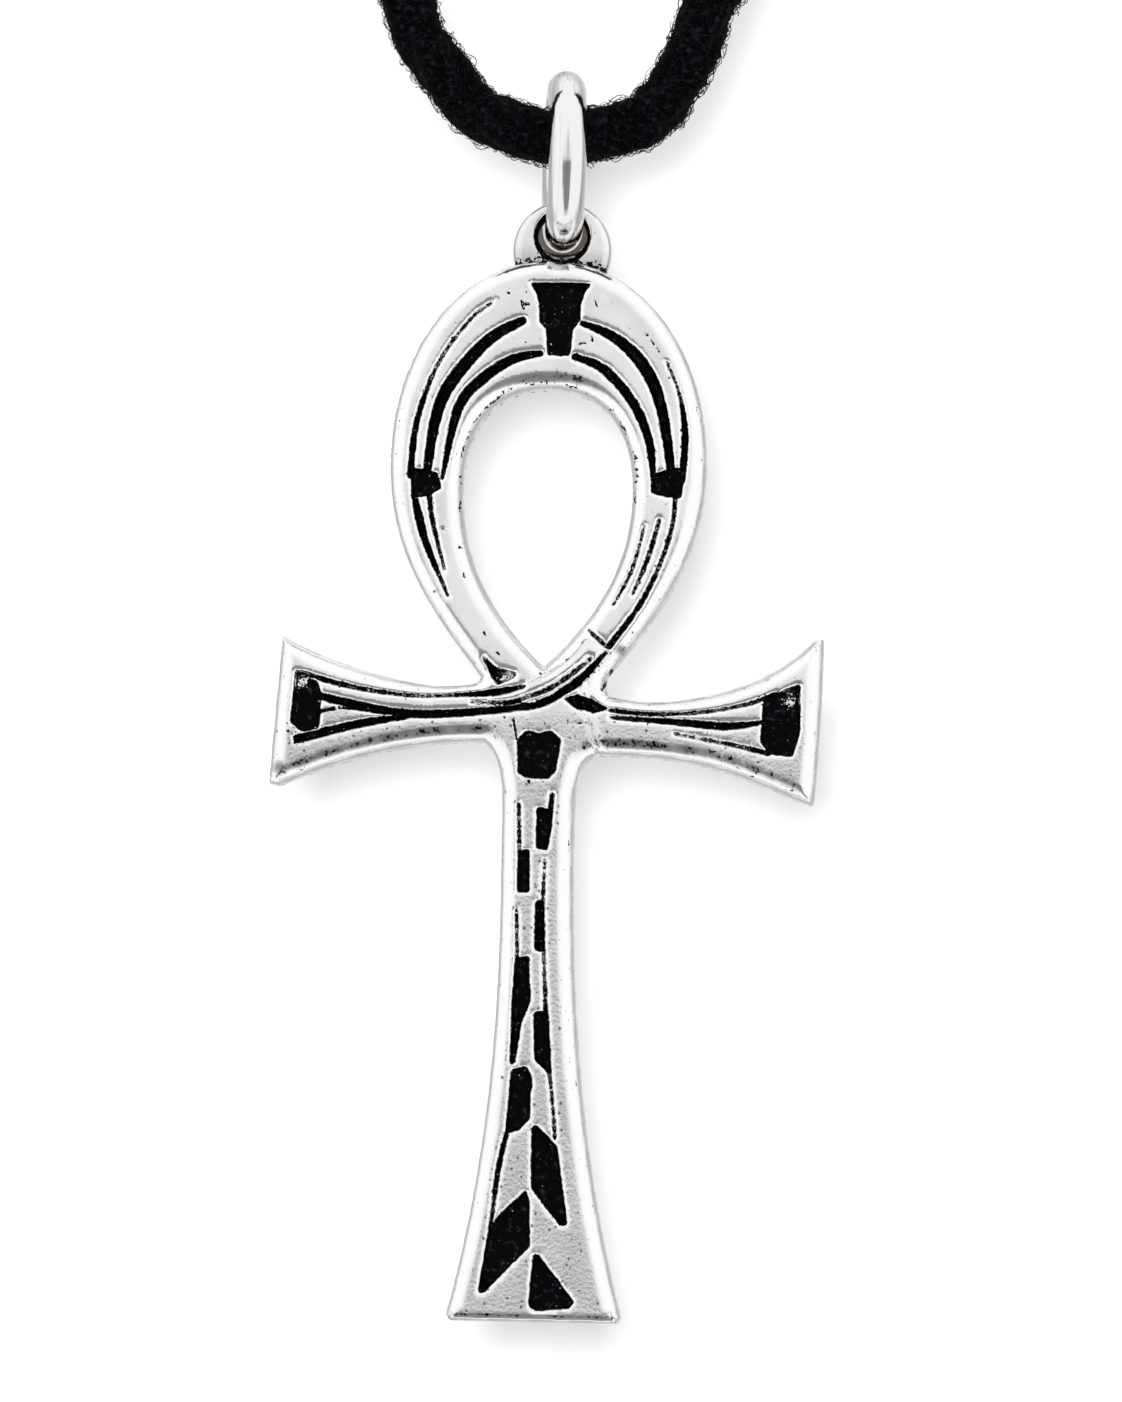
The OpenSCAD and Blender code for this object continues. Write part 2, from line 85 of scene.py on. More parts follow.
def add_node(tree: bpy.types.NodeTree, kind: str, settings: dict | None = None,
             inputs: dict | tuple = ()) -> bpy.types.Node:
    """Adds a node with its settings, its constants and its links.

    Args:
        tree: the tree that it goes into.
        kind: the node's type name.
        settings: properties of the node.
        inputs: constants, sockets, or nodes that give their first output. They come in the inputs' order, or
            by input name or number.

    Returns:
        The new node.
    """
    node = tree.nodes.new(kind)
    for name, value in (settings or {}).items():
        setattr(node, name, value)
    for key, value in inputs.items() if isinstance(inputs, dict) else enumerate(inputs):
        source = value.outputs[0] if isinstance(value, bpy.types.Node) else value
        if isinstance(source, bpy.types.NodeSocket):
            tree.links.new(source, node.inputs[key])
        else:
            node.inputs[key].default_value = source
    return node


def fresh_material(name: str) -> tuple[bpy.types.Material, bpy.types.NodeTree, bpy.types.Node]:
    """Makes a material with an empty tree.

    Args:
        name: the finish in a maker's words.

    Returns:
        The material, its node tree and its output node.
    """
    material = bpy.data.materials.new(name)
    material.use_nodes = True
    tree = material.node_tree
    tree.nodes.clear()
    return material, tree, add_node(tree, "ShaderNodeOutputMaterial")


def linked(name: str, data: bpy.types.ID) -> bpy.types.Object:
    """Makes an object of a mesh, a curve, a camera or a light and links it to the scene.

    Args:
        name: the object's name.
        data: what it shows.

    Returns:
        The object, at the origin.
    """
    obj = bpy.data.objects.new(name, data)
    bpy.context.scene.collection.objects.link(obj)
    return obj


def object_of(name: str, points: np.ndarray, faces: list, material: bpy.types.Material) -> bpy.types.Object:
    """Makes a smooth-shaded mesh object at the origin.

    Args:
        name: the piece's name.
        points: corners in millimetres.
        faces: corner numbers of each face.
        material: the finish.

    Returns:
        The linked object.
    """
    mesh = bpy.data.meshes.new(name)
    mesh.from_pydata((np.asarray(points) * MM).tolist(), [], faces)
    mesh.validate()
    mesh.polygons.foreach_set("use_smooth", [True] * len(mesh.polygons))
    mesh.materials.append(material)
    return linked(name, mesh)


def face_outwards(obj: bpy.types.Object, apart: float = 1e-6) -> None:
    """Merges a closed shell's doubles and turns its faces outwards.

    Args:
        obj: the shell.
        apart: points nearer than this are one, in metres.
    """
    shell = bmesh.new()
    shell.from_mesh(obj.data)
    bmesh.ops.remove_doubles(shell, verts=shell.verts, dist=apart)
    bmesh.ops.recalc_face_normals(shell, faces=shell.faces)
    shell.to_mesh(obj.data)
    shell.free()


def ring_faces(around: int, across: int) -> list[tuple[int, int, int, int]]:
    """Gives the faces of a closed tube, whose points run across it first and then around.

    Args:
        around: sections along the tube.
        across: points of each section.

    Returns:
        Corner numbers of each face.
    """
    faces = []
    for i in range(around):
        a, b = i * across, (i + 1) % around * across
        faces += [(a + k, a + (k + 1) % across, b + (k + 1) % across, b + k) for k in range(across)]
    return faces


def joint_named(name: str) -> dict:
    """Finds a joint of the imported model."""
    return next(joint for joint in frame["joints"] if joint["name"] == name)


def perlin(where: np.ndarray, size: float, layer: float) -> np.ndarray:
    """Gives smooth noise at points in the plane, with features of a size in millimetres."""
    return np.array([noise.noise((x / size, z / size, layer)) for x, z in where])


@dataclass(frozen=True)
class PolishedSilver:
    """Silver wire, drawn round and tumbled bright: a soft mirror with die lines that run lengthwise, and
    darker painted reflection streaks along them.

    A real die's lines are too fine to show in the render, so they are drawn as coarse as they need to show.
    """

    colour: str = "#f3f2f0"
    painted_streak: str = "#aeadab"
    painted_streak_range: tuple = (0.48, 0.72)
    roughness: float = 0.1
    wave_mm: float = 0.7
    wave_depth_mm: float = 0.014
    line_mm: float = 0.3
    line_depth_mm: float = 0.02

    def material(self) -> bpy.types.Material:
        """Builds the finish.

        Returns:
            The material.
        """
        material, tree, output = fresh_material("tumbled_silver_wire")
        place = add_node(tree, "ShaderNodeTexCoord").outputs["Object"]
        waves = add_node(tree, "ShaderNodeTexNoise", {}, {
            "Vector": place, "Scale": 1 / (self.wave_mm * MM), "Detail": 2.0})
        dents = add_node(tree, "ShaderNodeBump", {}, {
            "Strength": 1.0, "Distance": self.wave_depth_mm * MM, "Height": waves})
        along = add_node(tree, "ShaderNodeAttribute", {"attribute_name": "die"}).outputs["Vector"]
        lines = add_node(tree, "ShaderNodeTexNoise", {}, {
            "Vector": along, "Scale": 1 / self.line_mm, "Detail": 2.0})
        bump = add_node(tree, "ShaderNodeBump", {}, {
            "Strength": 1.0, "Distance": self.line_depth_mm * MM, "Height": lines, "Normal": dents})
        # Painted reflection: darker streaks of colour along the die lines.
        painted_streaks = add_node(tree, "ShaderNodeMapRange", SMOOTH, (lines, *self.painted_streak_range))
        tint = add_node(tree, "ShaderNodeMix", COLOURS, {
            0: painted_streaks, 6: linear(self.colour), 7: linear(self.painted_streak)})
        shader = add_node(tree, "ShaderNodeBsdfPrincipled", {}, {
            "Base Color": tint.outputs[2], "Metallic": 1.0, "Roughness": self.roughness, "Normal": bump})
        tree.links.new(shader.outputs[0], output.inputs[0])
        return material


@dataclass(frozen=True)
class AntiquedSilver:
    """Cast silver, blackened all over and polished back: bright high places, ragged black recesses.

    The casting's grain and pin holes are drawn coarser than real ones, which the render can't show.
    """

    bright: str = "#f8f8f7"
    dull: str = "#ebebea"
    # The bright tint of polish wear and painted highlight.
    worn: str = "#fefefe"
    black: str = "#020203"
    navy: str = "#12161f"
    brown: str = "#7c7069"
    roughness: float = 0.16
    grain_roughness: float = 0.36
    oxide_roughness: float = 0.45
    grain_mm: float = 0.16
    pit_mm: float = 0.36
    ragged_mm: float = 0.15
    cloud_mm: float = 1.8
    blotch_mm: float = 0.3
    relief_mm: float = 0.012
    raggedness: float = 2.2
    black_range: tuple = (0.42, 0.58)
    cloud_range: tuple = (0.35, 0.7)
    blotch_range: tuple = (0.55, 0.76)
    pits_in_grain: float = 0.6
    pits_anywhere: float = 0.01

    def pits(self, tree: bpy.types.NodeTree, place: bpy.types.NodeSocket,
             grain: bpy.types.NodeSocket) -> bpy.types.Node:
        """Adds the casting's pin holes, more of them where the face is grainy.

        Args:
            tree: the material's tree.
            place: where on the piece.
            grain: share of graininess.

        Returns:
            The node that gives up to 0.8 inside a pin hole and 0 outside.
        """
        cells = add_node(tree, "ShaderNodeTexVoronoi", {"feature": "F1"}, {
            "Vector": place, "Scale": 1 / (self.pit_mm * MM), "Randomness": 1.0})
        some = add_node(tree, "ShaderNodeSeparateColor", {}, (cells.outputs["Color"],))
        share = add_node(tree, "ShaderNodeMath", {"operation": "MULTIPLY_ADD"}, (
            grain, self.pits_in_grain, self.pits_anywhere))
        chosen = add_node(tree, "ShaderNodeMath", {"operation": "LESS_THAN"}, (some, share))
        depth = add_node(tree, "ShaderNodeMapRange", SMOOTH, (cells.outputs["Distance"], 0.28, 0.1, 0.0, 0.8))
        return add_node(tree, "ShaderNodeMath", {"operation": "MULTIPLY"}, (chosen, depth))

    def material(self) -> bpy.types.Material:
        """Builds the finish.

        Returns:
            The material.
        """
        material, tree, output = fresh_material("antiqued_cast_silver")
        place = add_node(tree, "ShaderNodeTexCoord").outputs["Object"]
        # The first share holds real blackening in the recesses with painted shade and dark reflections along
        # edges and in the bail; the third holds brown tarnishing with painted shade; the fourth holds polish
        # wear with a painted highlight.
        patina_and_shade, grain, tarnish_and_shade, worn = (
            add_node(tree, "ShaderNodeAttribute", {"attribute_name": name}).outputs["Fac"]
            for name in ("patina_and_shade", "grain", "tarnish_and_shade", "worn"))
        ragged, cloud, fine, patches = (
            add_node(tree, "ShaderNodeTexNoise", {}, {
                "Vector": place, "Scale": 1 / (size * MM), "Detail": 3.0})
            for size in (self.ragged_mm, self.cloud_mm, self.grain_mm, self.blotch_mm))
        pits = self.pits(tree, place, grain)
        crumbly = add_node(tree, "ShaderNodeMath", {"operation": "SUBTRACT"}, (ragged, 0.5))
        edge = add_node(tree, "ShaderNodeMath", {"operation": "MULTIPLY_ADD"}, (
            crumbly, self.raggedness, patina_and_shade))
        darkened = add_node(tree, "ShaderNodeMapRange", SMOOTH, (edge, *self.black_range))
        black = add_node(tree, "ShaderNodeMath", {"operation": "MAXIMUM"}, (darkened, pits))
        clouded = add_node(tree, "ShaderNodeMapRange", SMOOTH, (cloud, *self.cloud_range))
        tint = add_node(tree, "ShaderNodeMix", COLOURS, {
            0: clouded, 6: linear(self.bright), 7: linear(self.dull)}).outputs[2]
        # Mixes in the bright tint of wear and painted highlight, then the brown of tarnishing and painted
        # shade.
        for share, colour in ((worn, self.worn), (tarnish_and_shade, self.brown)):
            tint = add_node(tree, "ShaderNodeMix", COLOURS, {0: share, 6: tint, 7: linear(colour)}).outputs[2]
        coarse = add_node(tree, "ShaderNodeMath", {"operation": "MAXIMUM"}, (grain, tarnish_and_shade))
        rough = add_node(tree, "ShaderNodeMath", {"operation": "MULTIPLY_ADD"}, (
            coarse, self.grain_roughness - self.roughness, self.roughness))
        height = add_node(tree, "ShaderNodeMath", {"operation": "MULTIPLY_ADD"}, (grain, 4.6, 0.35))
        hills = add_node(tree, "ShaderNodeMath", {"operation": "MULTIPLY"}, (fine, height))
        holes = add_node(tree, "ShaderNodeMath", {"operation": "MULTIPLY"}, (pits, 2.0))
        relief = add_node(tree, "ShaderNodeMath", {"operation": "SUBTRACT"}, (hills, holes))
        bump = add_node(tree, "ShaderNodeBump", {}, {
            "Strength": 1.0, "Distance": self.relief_mm * MM, "Height": relief})
        silver = add_node(tree, "ShaderNodeBsdfPrincipled", {}, {
            "Base Color": tint, "Metallic": 1.0, "Roughness": rough, "Normal": bump})
        blotch = add_node(tree, "ShaderNodeMapRange", SMOOTH, (patches, *self.blotch_range))
        stain = add_node(tree, "ShaderNodeMix", COLOURS, {
            0: blotch, 6: linear(self.black), 7: linear(self.navy)}).outputs[2]
        gloss = add_node(tree, "ShaderNodeMath", {"operation": "MULTIPLY_ADD"}, (blotch, 0.25, 0.04))
        oxide = add_node(tree, "ShaderNodeBsdfPrincipled", {}, {
            "Base Color": stain, "Roughness": self.oxide_roughness, "Normal": bump,
            "Specular IOR Level": gloss})
        # The dark finish covers the real blackening in the recesses and the painted shade and dark
        # reflections alike.
        mixed = add_node(tree, "ShaderNodeMixShader", {}, (black, silver, oxide))
        tree.links.new(mixed.outputs[0], output.inputs[0])
        return material


@dataclass(frozen=True)
class SoftYarn:
    """Black cotton yarn, plied and brushed: no gloss, a dusty sheen and a faint bluish painted highlight in
    random patches.
    """

    name: str = "brushed_cotton_yarn"
    black: str = "#020303"
    highlight_blue: str = "#11151c"
    highlight_blue_range: tuple = (0.52, 0.72)
    strand_mm: float = 0.28
    strand_depth_mm: float = 0.08

    def material(self) -> bpy.types.Material:
        """Builds the finish.

        Returns:
            The material.
        """
        material, tree, output = fresh_material(self.name)
        place = add_node(tree, "ShaderNodeTexCoord").outputs["Object"]
        strands = add_node(tree, "ShaderNodeTexNoise", {}, {
            "Vector": place, "Scale": 1 / (self.strand_mm * MM), "Detail": 4.0})
        # Painted highlight: faint bluish patches where the noise is high.
        lit = add_node(tree, "ShaderNodeMapRange", SMOOTH, (strands, *self.highlight_blue_range))
        tint = add_node(tree, "ShaderNodeMix", COLOURS, {0: lit, 6: linear(self.black), 7: linear(self.highlight_blue)})
        bump = add_node(tree, "ShaderNodeBump", {}, {
            "Strength": 1.0, "Distance": self.strand_depth_mm * MM, "Height": strands})
        shader = add_node(tree, "ShaderNodeBsdfPrincipled", {}, {
            "Base Color": tint.outputs[2], "Roughness": 0.95, "Specular IOR Level": 0.0, "Sheen Weight": 0.02,
            "Sheen Roughness": 0.5, "Normal": bump})
        tree.links.new(shader.outputs[0], output.inputs[0])
        return material


@dataclass
class Contour:
    """Closed lines in the plane of the ankh, in millimetres, with the metal on their left."""

    lines: list[np.ndarray]
    sample_mm: float = 0.02
    crowding_mm: float = 0.012
    points: np.ndarray = field(init=False)
    normals: np.ndarray = field(init=False)
    tree: kdtree.KDTree = field(init=False)

    def __post_init__(self) -> None:
        """Samples the lines finely for distance queries."""
        dense = [resample(line, self.sample_mm) for line in self.lines]
        self.points = np.vstack(dense)
        self.normals = np.vstack([outward(line) for line in dense])
        self.tree = kdtree.KDTree(len(self.points))
        for number, (x, z) in enumerate(self.points):
            self.tree.insert((x, z, 0.0), number)
        self.tree.balance()

    def measure(self, where: np.ndarray) -> tuple[np.ndarray, np.ndarray]:
        """Measures how far points are inside the metal.

        Args:
            where: points, x and z.

        Returns:
            Signed distances, positive on the metal's side, and the outward normal at the nearest place.
        """
        nearest = np.array([self.tree.find((x, z, 0.0))[1] for x, z in where])
        offset = where - self.points[nearest]
        normals = self.normals[nearest]
        side = np.where((offset * normals).sum(1) > 0, -1.0, 1.0)
        return side * np.linalg.norm(offset, axis=1), normals

    def shifted(self, step: float, inward: float) -> np.ndarray:
        """Gives points along the lines, moved into the metal.

        Args:
            step: distance between points.
            inward: how far they are moved.

        Returns:
            The points, without those that come too near another stretch of line.
        """
        rows = [resample(line, step) for line in self.lines]
        moved = np.vstack([row - outward(row) * inward for row in rows])
        if inward == 0:
            return moved
        distance, _ = self.measure(moved)
        return moved[np.abs(distance) > abs(inward) - self.crowding_mm]


def outward(line: np.ndarray) -> np.ndarray:
    """Gives the normals of a closed line, on its right.

    Args:
        line: its points.

    Returns:
        A unit normal at each point.
    """
    along = np.roll(line, -1, 0) - np.roll(line, 1, 0)
    along /= np.maximum(np.linalg.norm(along, axis=1), 1e-9)[:, None]
    return np.stack([along[:, 1], -along[:, 0]], 1)


def resample(line: np.ndarray, step: float) -> np.ndarray:
    """Gives points at an even step along a closed line.

    Args:
        line: corners of the line.
        step: distance between points, in millimetres.

    Returns:
        The points.
    """
    closed = np.vstack([line, line[:1]])
    lengths = np.concatenate([[0], np.cumsum(np.linalg.norm(np.diff(closed, axis=0), axis=1))])
    count = max(8, int(round(lengths[-1] / step)))
    at = np.linspace(0, lengths[-1], count, endpoint=False)
    return np.stack([np.interp(at, lengths, closed[:, k]) for k in (0, 1)], 1)


def rounded(line: np.ndarray, corner_deg: float = 28.0, steps: int = 8) -> np.ndarray:
    """Turns a closed line's short chords into curves and keeps its corners.

    Args:
        line: corners of the line.
        corner_deg: turns sharper than this stay corners.
        steps: points that each chord gets.

    Returns:
        The curved line.
    """
    chord = np.roll(line, -1, 0) - line
    length = np.linalg.norm(chord, axis=1)
    unit = chord / np.maximum(length, 1e-9)[:, None]
    before = np.roll(unit, 1, 0)
    corner = (unit * before).sum(1) < math.cos(math.radians(corner_deg))
    tangent = unit * np.roll(length, 1)[:, None] + before * length[:, None]
    tangent /= np.maximum(np.linalg.norm(tangent, axis=1), 1e-9)[:, None]
    start = np.where(corner[:, None], unit, tangent) * length[:, None]
    end = np.where(np.roll(corner, -1)[:, None], unit, np.roll(tangent, -1, 0)) * length[:, None]
    t = (np.arange(steps) / steps)[None, :, None]
    a, b = line[:, None, :], np.roll(line, -1, 0)[:, None, :]
    curve = ((2 * t**3 - 3 * t**2 + 1) * a + (t**3 - 2 * t**2 + t) * start[:, None, :]
             + (3 * t**2 - 2 * t**3) * b + (t**3 - t**2) * end[:, None, :])
    return curve.reshape(-1, 2)


def softened(line: np.ndarray, step: float, reach: float) -> np.ndarray:
    """Rounds a closed line's corners by averaging along it.

    Args:
        line: corners of the line.
        step: distance between the new points.
        reach: length to each side that is averaged over.

    Returns:
        The rounded line.
    """
    even = resample(line, step)
    width = max(1, int(round(reach / step)))
    weights = np.hanning(2 * width + 3)[1:-1]
    weights /= weights.sum()
    return sum(w * np.roll(even, k - width, 0) for k, w in enumerate(weights))


@dataclass
class LevelCut:
    """Cuts a node's mesh at a level plane and chains the cuts into closed lines."""

    node: bpy.types.Object

    def triangles(self) -> tuple[np.ndarray, np.ndarray]:
        """Reads the node's mesh.

        Returns:
            Its merged corners in millimetres, and its triangles.
        """
        mesh = self.node.data
        mesh.calc_loop_triangles()
        corners = np.empty(len(mesh.vertices) * 3)
        mesh.vertices.foreach_get("co", corners)
        index = np.empty(len(mesh.loop_triangles) * 3, dtype=np.int64)
        mesh.loop_triangles.foreach_get("vertices", index)
        places, merged = np.unique(np.round(corners.reshape(-1, 3) / MM, 4), axis=0, return_inverse=True)
        return places, merged.ravel()[index].reshape(-1, 3)

    def lines(self, level: float) -> list[np.ndarray]:
        """Cuts the mesh.

        Args:
            level: the plane's y in millimetres.

        Returns:
            Closed lines of x and z.
        """
        places, triangles = self.triangles()
        above = places[:, 1] > level
        crossing = triangles[(above[triangles].sum(1) % 3) != 0]
        follow: dict[tuple[int, int], tuple[int, int]] = {}
        for triangle in crossing.tolist():
            enters = leaves = (0, 0)
            for a, b in zip(triangle, triangle[1:] + triangle[:1]):
                if above[a] != above[b]:
                    key = (min(a, b), max(a, b))
                    enters, leaves = (enters, key) if above[a] else (key, leaves)
            follow[enters] = leaves
        return [self.walk(follow, places, level) for _ in iter(lambda: bool(follow), False)]

    @staticmethod
    def walk(follow: dict, places: np.ndarray, level: float) -> np.ndarray:
        """Takes one closed line out of the table of crossed edges.

        Args:
            follow: the edge that comes after each crossed edge.
            places: corners of the mesh.
            level: the plane's y in millimetres.

        Returns:
            The line, x and z.
        """
        first = next(iter(follow))
        edge, points = first, []
        while edge in follow:
            a, b = places[edge[0]], places[edge[1]]
            points.append(a + (b - a) * (level - a[1]) / (b[1] - a[1]))
            edge = follow.pop(edge)
        return np.array(points)[:, [0, 2]]


@dataclass
class CastAnkh:
    """The cast cross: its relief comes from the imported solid, its soft edges from hand finishing.

    Nicks are x, z, x, z and width, and spots are x, z and radius, in millimetres from the bail's bore.
    """

    lip: float = 0.16
    pillow: float = 0.04
    pillow_reach: float = 0.3
    wall: float = 0.07
    floor_depth: float = 0.7
    wall_run: float = 0.04
    shoulder: float = 0.85
    edge_slope: float = 1.5
    edge_power: float = 1.6
    back_round: float = 0.3
    grain_below: float = -262.0
    foot_below: float = -286.0
    foot_share: float = 0.3
    outline_level: float = 0.68
    recess_level: float = 0.77
    strand_level: float = 0.5
    strand_round: float = 0.35
    chip_depth: float = 0.16
    wave_height: float = 0.02
    floor_roughness: float = 0.035
    # How far in from the outline the two painted dark reflection lines run: along the edges and under the
    # arms.
    painted_hairline_in: float = 0.2
    painted_streak_in: float = 0.56
    bail_radius: float = 2.25
    bail_mouth: float = 1.34
    bail_throat: float = 1.1
    bail_narrowing: float = 0.34
    bail_drop: float = 0.6
    bail_foot: float = -1.9
    bail_half: float = 0.75
    bail_steps: tuple = (120, 48)
    nicks: tuple = (
        (-1.75, -3.1, -1.65, -3.4, 0.14), (-1.65, -3.25, -1.4, -3.2, 0.1), (1.6, -3.05, 1.7, -3.25, 0.1),
        (-2.8, -2.94, -2.78, -2.96, 0.11), (-2.35, -2.7, -2.33, -2.7, 0.08), (0.95, -4.97, 1.2, -4.95, 0.07),
        (1.5, -4.72, 1.54, -4.9, 0.07), (-4.33, -14.32, -4.32, -14.34, 0.12),
        (-5.08, -13.52, -5.06, -13.5, 0.1), (-4.1, -15.5, -4.06, -15.7, 0.08), (4.0, -4.5, 4.04, -4.55, 0.09),
        (4.25, -4.85, 4.32, -4.95, 0.1), (4.5, -5.2, 4.52, -5.25, 0.08), (-2.1, -22.05, -2.06, -22.05, 0.1),
        (-0.5, -20.0, -0.48, -20.02, 0.1), (-3.1, -18.2, -3.0, -18.35, 0.09),
        (-2.5, -19.1, -2.4, -19.2, 0.08), (-1.68, -22.15, -1.5, -23.0, 0.11),
        (0.8, -22.27, 1.8, -22.2, 0.06), (-0.95, -24.9, -0.9, -24.95, 0.12),
        (-0.6, -25.0, -0.58, -25.02, 0.07), (-2.1, -21.42, -1.4, -21.3, 0.16),
        (2.29, -20.7, 2.72, -19.75, 0.1),
        (-11.95, -22.5, -11.94, -22.51, 0.07), (-11.9, -22.85, -11.88, -22.86, 0.09),
        (-11.72, -22.98, -11.7, -23.0, 0.06), (-11.85, -23.25, -11.83, -23.26, 0.07),
        (-11.6, -23.4, -11.58, -23.42, 0.08), (-11.66, -22.68, -11.65, -22.7, 0.06),
        (-0.28, -24.92, -0.26, -24.93, 0.06), (-0.75, -24.72, -0.72, -24.75, 0.07),
        (-10.42, -21.93, -9.62, -21.76, 0.2), (-9.62, -21.74, -8.7, -21.76, 0.15))
    worn_spots: tuple = (
        (-2.05, -20.2, 0.55), (-1.05, -21.2, 0.3), (0.75, -21.6, 0.42), (10.8, -21.0, 0.42),
        (-11.35, -20.55, 0.46))
    rust_spots: tuple = ((-12.25, -24.5, 0.4), (3.1, -18.85, 0.3), (0.1, -7.35, 0.3), (-0.7, -7.3, 0.25))
    body: str = "ankh"

    def __post_init__(self) -> None:
        """Reads the casting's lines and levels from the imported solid."""
        low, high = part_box("ankh")
        sway = joint_named("ankh_sway")
        self.middle = sway["pos_m"][1] / MM
        self.bore = np.array([sway["pos_m"][0], sway["pos_m"][2]]) / MM
        self.half = high.y / MM - self.middle
        self.strand_height = self.middle - self.half - low.y / MM
        cut = LevelCut(frame["nodes"]["ankh"])
        outline = [rounded(line) for line in cut.lines(self.middle + self.outline_level * self.half)]
        self.outline = Contour([softened(line, 0.04, 0.08) for line in outline])
        recesses = [line for line in cut.lines(self.middle - self.recess_level * self.half)
                    if self.is_recess(line)]
        self.recess = Contour([self.roughened(rounded(line)) for line in recesses])
        self.chips = Contour([self.nick(*nick) for nick in self.nicks])
        strand = cut.lines(self.middle - self.half - self.strand_level * self.strand_height)
        self.strand = Contour([softened(rounded(line), 0.04, 0.1) for line in strand])
        LOG.info("outline %d, recesses %d, strand %d lines", len(outline), len(recesses), len(strand))

    def is_recess(self, line: np.ndarray) -> bool:
        """Tells a recess from the casting's own edge."""
        distance, _ = self.outline.measure(line)
        return float(np.abs(distance).mean()) > 0.3

    def roughened(self, line: np.ndarray) -> np.ndarray:
        """Gives a recess the uneven rim of a hand-cut mould.

        Args:
            line: the recess's outline.

        Returns:
            The uneven outline.
        """
        even = softened(line, 0.04, 0.08)
        uneven = 0.02 * perlin(even, 0.5, 3.0) + 0.022 * perlin(even, 0.16, 9.0)
        return even + outward(even) * uneven[:, None]

    def nick(self, x0: float, z0: float, x1: float, z1: float, width: float) -> np.ndarray:
        """Gives the uneven outline of a casting nick.

        Args:
            x0: start across, from the bail's bore.
            z0: start upwards.
            x1: end across.
            z1: end upwards.
            width: the nick's width.

        Returns:
            The closed outline, x and z.
        """
        ends = np.array([(x0, z0), (x1, z1)]) + self.bore
        along = (ends[1] - ends[0]) / max(float(np.linalg.norm(ends[1] - ends[0])), 1e-6)
        turn = np.linspace(0, 2 * math.pi, 24, endpoint=False)
        ring = np.stack([np.cos(turn), -np.sin(turn)], 1) * width / 2
        ring *= np.array([1 + 0.5 * noise.noise((x * 20 + x0, z * 20 + z0, 1.0)) for x, z in ring])[:, None]
        across = np.array((-along[1], along[0]))
        placed = ring[:, :1] * along + ring[:, 1:] * across
        return placed + np.where((ring[:, :1] > 0), ends[1], ends[0])

    def at_foot(self, where: np.ndarray, normals: np.ndarray) -> np.ndarray:
        """Tells which points are nearest the foot's level end."""
        return (where[:, 1] < self.foot_below) & (normals[:, 1] < -0.8)

    def shoulder_rise(self, where: np.ndarray, distance: np.ndarray, normals: np.ndarray) -> np.ndarray:
        """Gives the height of the rounded front edge over the casting's middle plane.

        Args:
            where: points, x and z in millimetres.
            distance: how far the points are inside the outline.
            normals: the outline's outward normals there.

        Returns:
            Heights before the relief.
        """
        width = self.shoulder + 0.15 * np.clip(normals[:, 0], 0, 1)
        width *= np.where(self.at_foot(where, normals), self.foot_share, 1.0)
        depth = self.edge_slope * width / (self.edge_power + 1)
        t = np.clip((distance - self.wall_run) / width, 0, 1)
        wall = (self.half - depth) * np.clip(distance / self.wall_run, 0, 1)
        return wall + depth * (1 - (1 - t) ** (self.edge_power + 1))

    def spotted(self, where: np.ndarray, spots: tuple) -> np.ndarray:
        """Gives soft round spots.

        Args:
            where: points, x and z in millimetres.
            spots: x, z and radius of each spot.

        Returns:
            A share of 1 in a spot's middle, down to 0 outside.
        """
        share = np.zeros(len(where))
        for x, z, radius in spots:
            away = np.linalg.norm(where - self.bore - (x, z), axis=1)
            share = np.maximum(share, np.clip(1.6 - 1.6 * away / radius, 0, 1))
        return share

    def painted_edge_shade(self, where: np.ndarray, edge: np.ndarray,
               normals: np.ndarray) -> tuple[np.ndarray, np.ndarray]:
        """Gives painted shade and dark reflections along edges: broken hairlines, the eye's rim, the
        undersides of the arms and the crown, and the line where the foot turns down.

        Args:
            where: points, x and z in millimetres.
            edge: how far they are inside the outline.
            normals: the outline's outward normals there.

        Returns:
            Shares of painted black and of painted brown.
        """
        crumbs = perlin(where, 0.6, 21.0)
        wander = perlin(where, 1.7, 33.0)
        flecks = crumbs + 0.6 * perlin(where, 0.27, 41.0)
        # Painted dark reflection: a broken dark line a little inside the outline.
        line = np.abs(edge - self.painted_hairline_in - 0.14 * wander)
        painted_hairline = np.clip(1 - line / 0.05, 0, 1) * np.clip((flecks - 0.12) * 4, 0, 0.62)
        painted_hairline *= np.clip(0.4 + 4 * wander, 0, 1)
        place = where - self.bore
        in_eye = (np.abs(place[:, 0]) < 4.6) & (place[:, 1] > -15) & (place[:, 0] * normals[:, 0] < 0.2)
        # Painted shade: a broken dark line round the eye's rim.
        rim = np.clip(1.4 - line / 0.06, 0, 1) * np.clip((flecks + 0.12) * 6, 0, 0.68)
        rim *= in_eye & (normals[:, 1] < 0.1)
        # Painted dark reflection on faces that turn downwards: under the arms and under the crown.
        downward = np.clip(-normals[:, 1] * 2 - 1, 0, 1)
        painted_under_arm = downward * (place[:, 1] < -19) * (place[:, 1] > -30)
        crown = downward * in_eye * np.clip(1.8 - np.abs(place[:, 0]) / 1.3, 0, 1)
        painted_streak = np.clip(1.4 - np.abs(edge - self.painted_streak_in) / 0.2, 0, 1)
        painted_streak = painted_streak * np.clip(0.62 + crumbs, 0, 1) * (painted_under_arm + crown)
        # Painted dark reflection: a line where the foot's face turns down into its bevel.
        painted_foot_line = np.clip(1.3 - np.abs(edge - self.wall_run - self.foot_share * self.shoulder) / 0.04, 0, 1)
        painted_foot_line *= self.at_foot(where, normals) * np.clip(0.85 + crumbs, 0, 1)
        black = np.maximum(np.maximum(painted_hairline, rim), np.maximum(painted_streak * 0.52, painted_foot_line * 0.62))
        return black, np.maximum(painted_streak, painted_foot_line) * 0.8

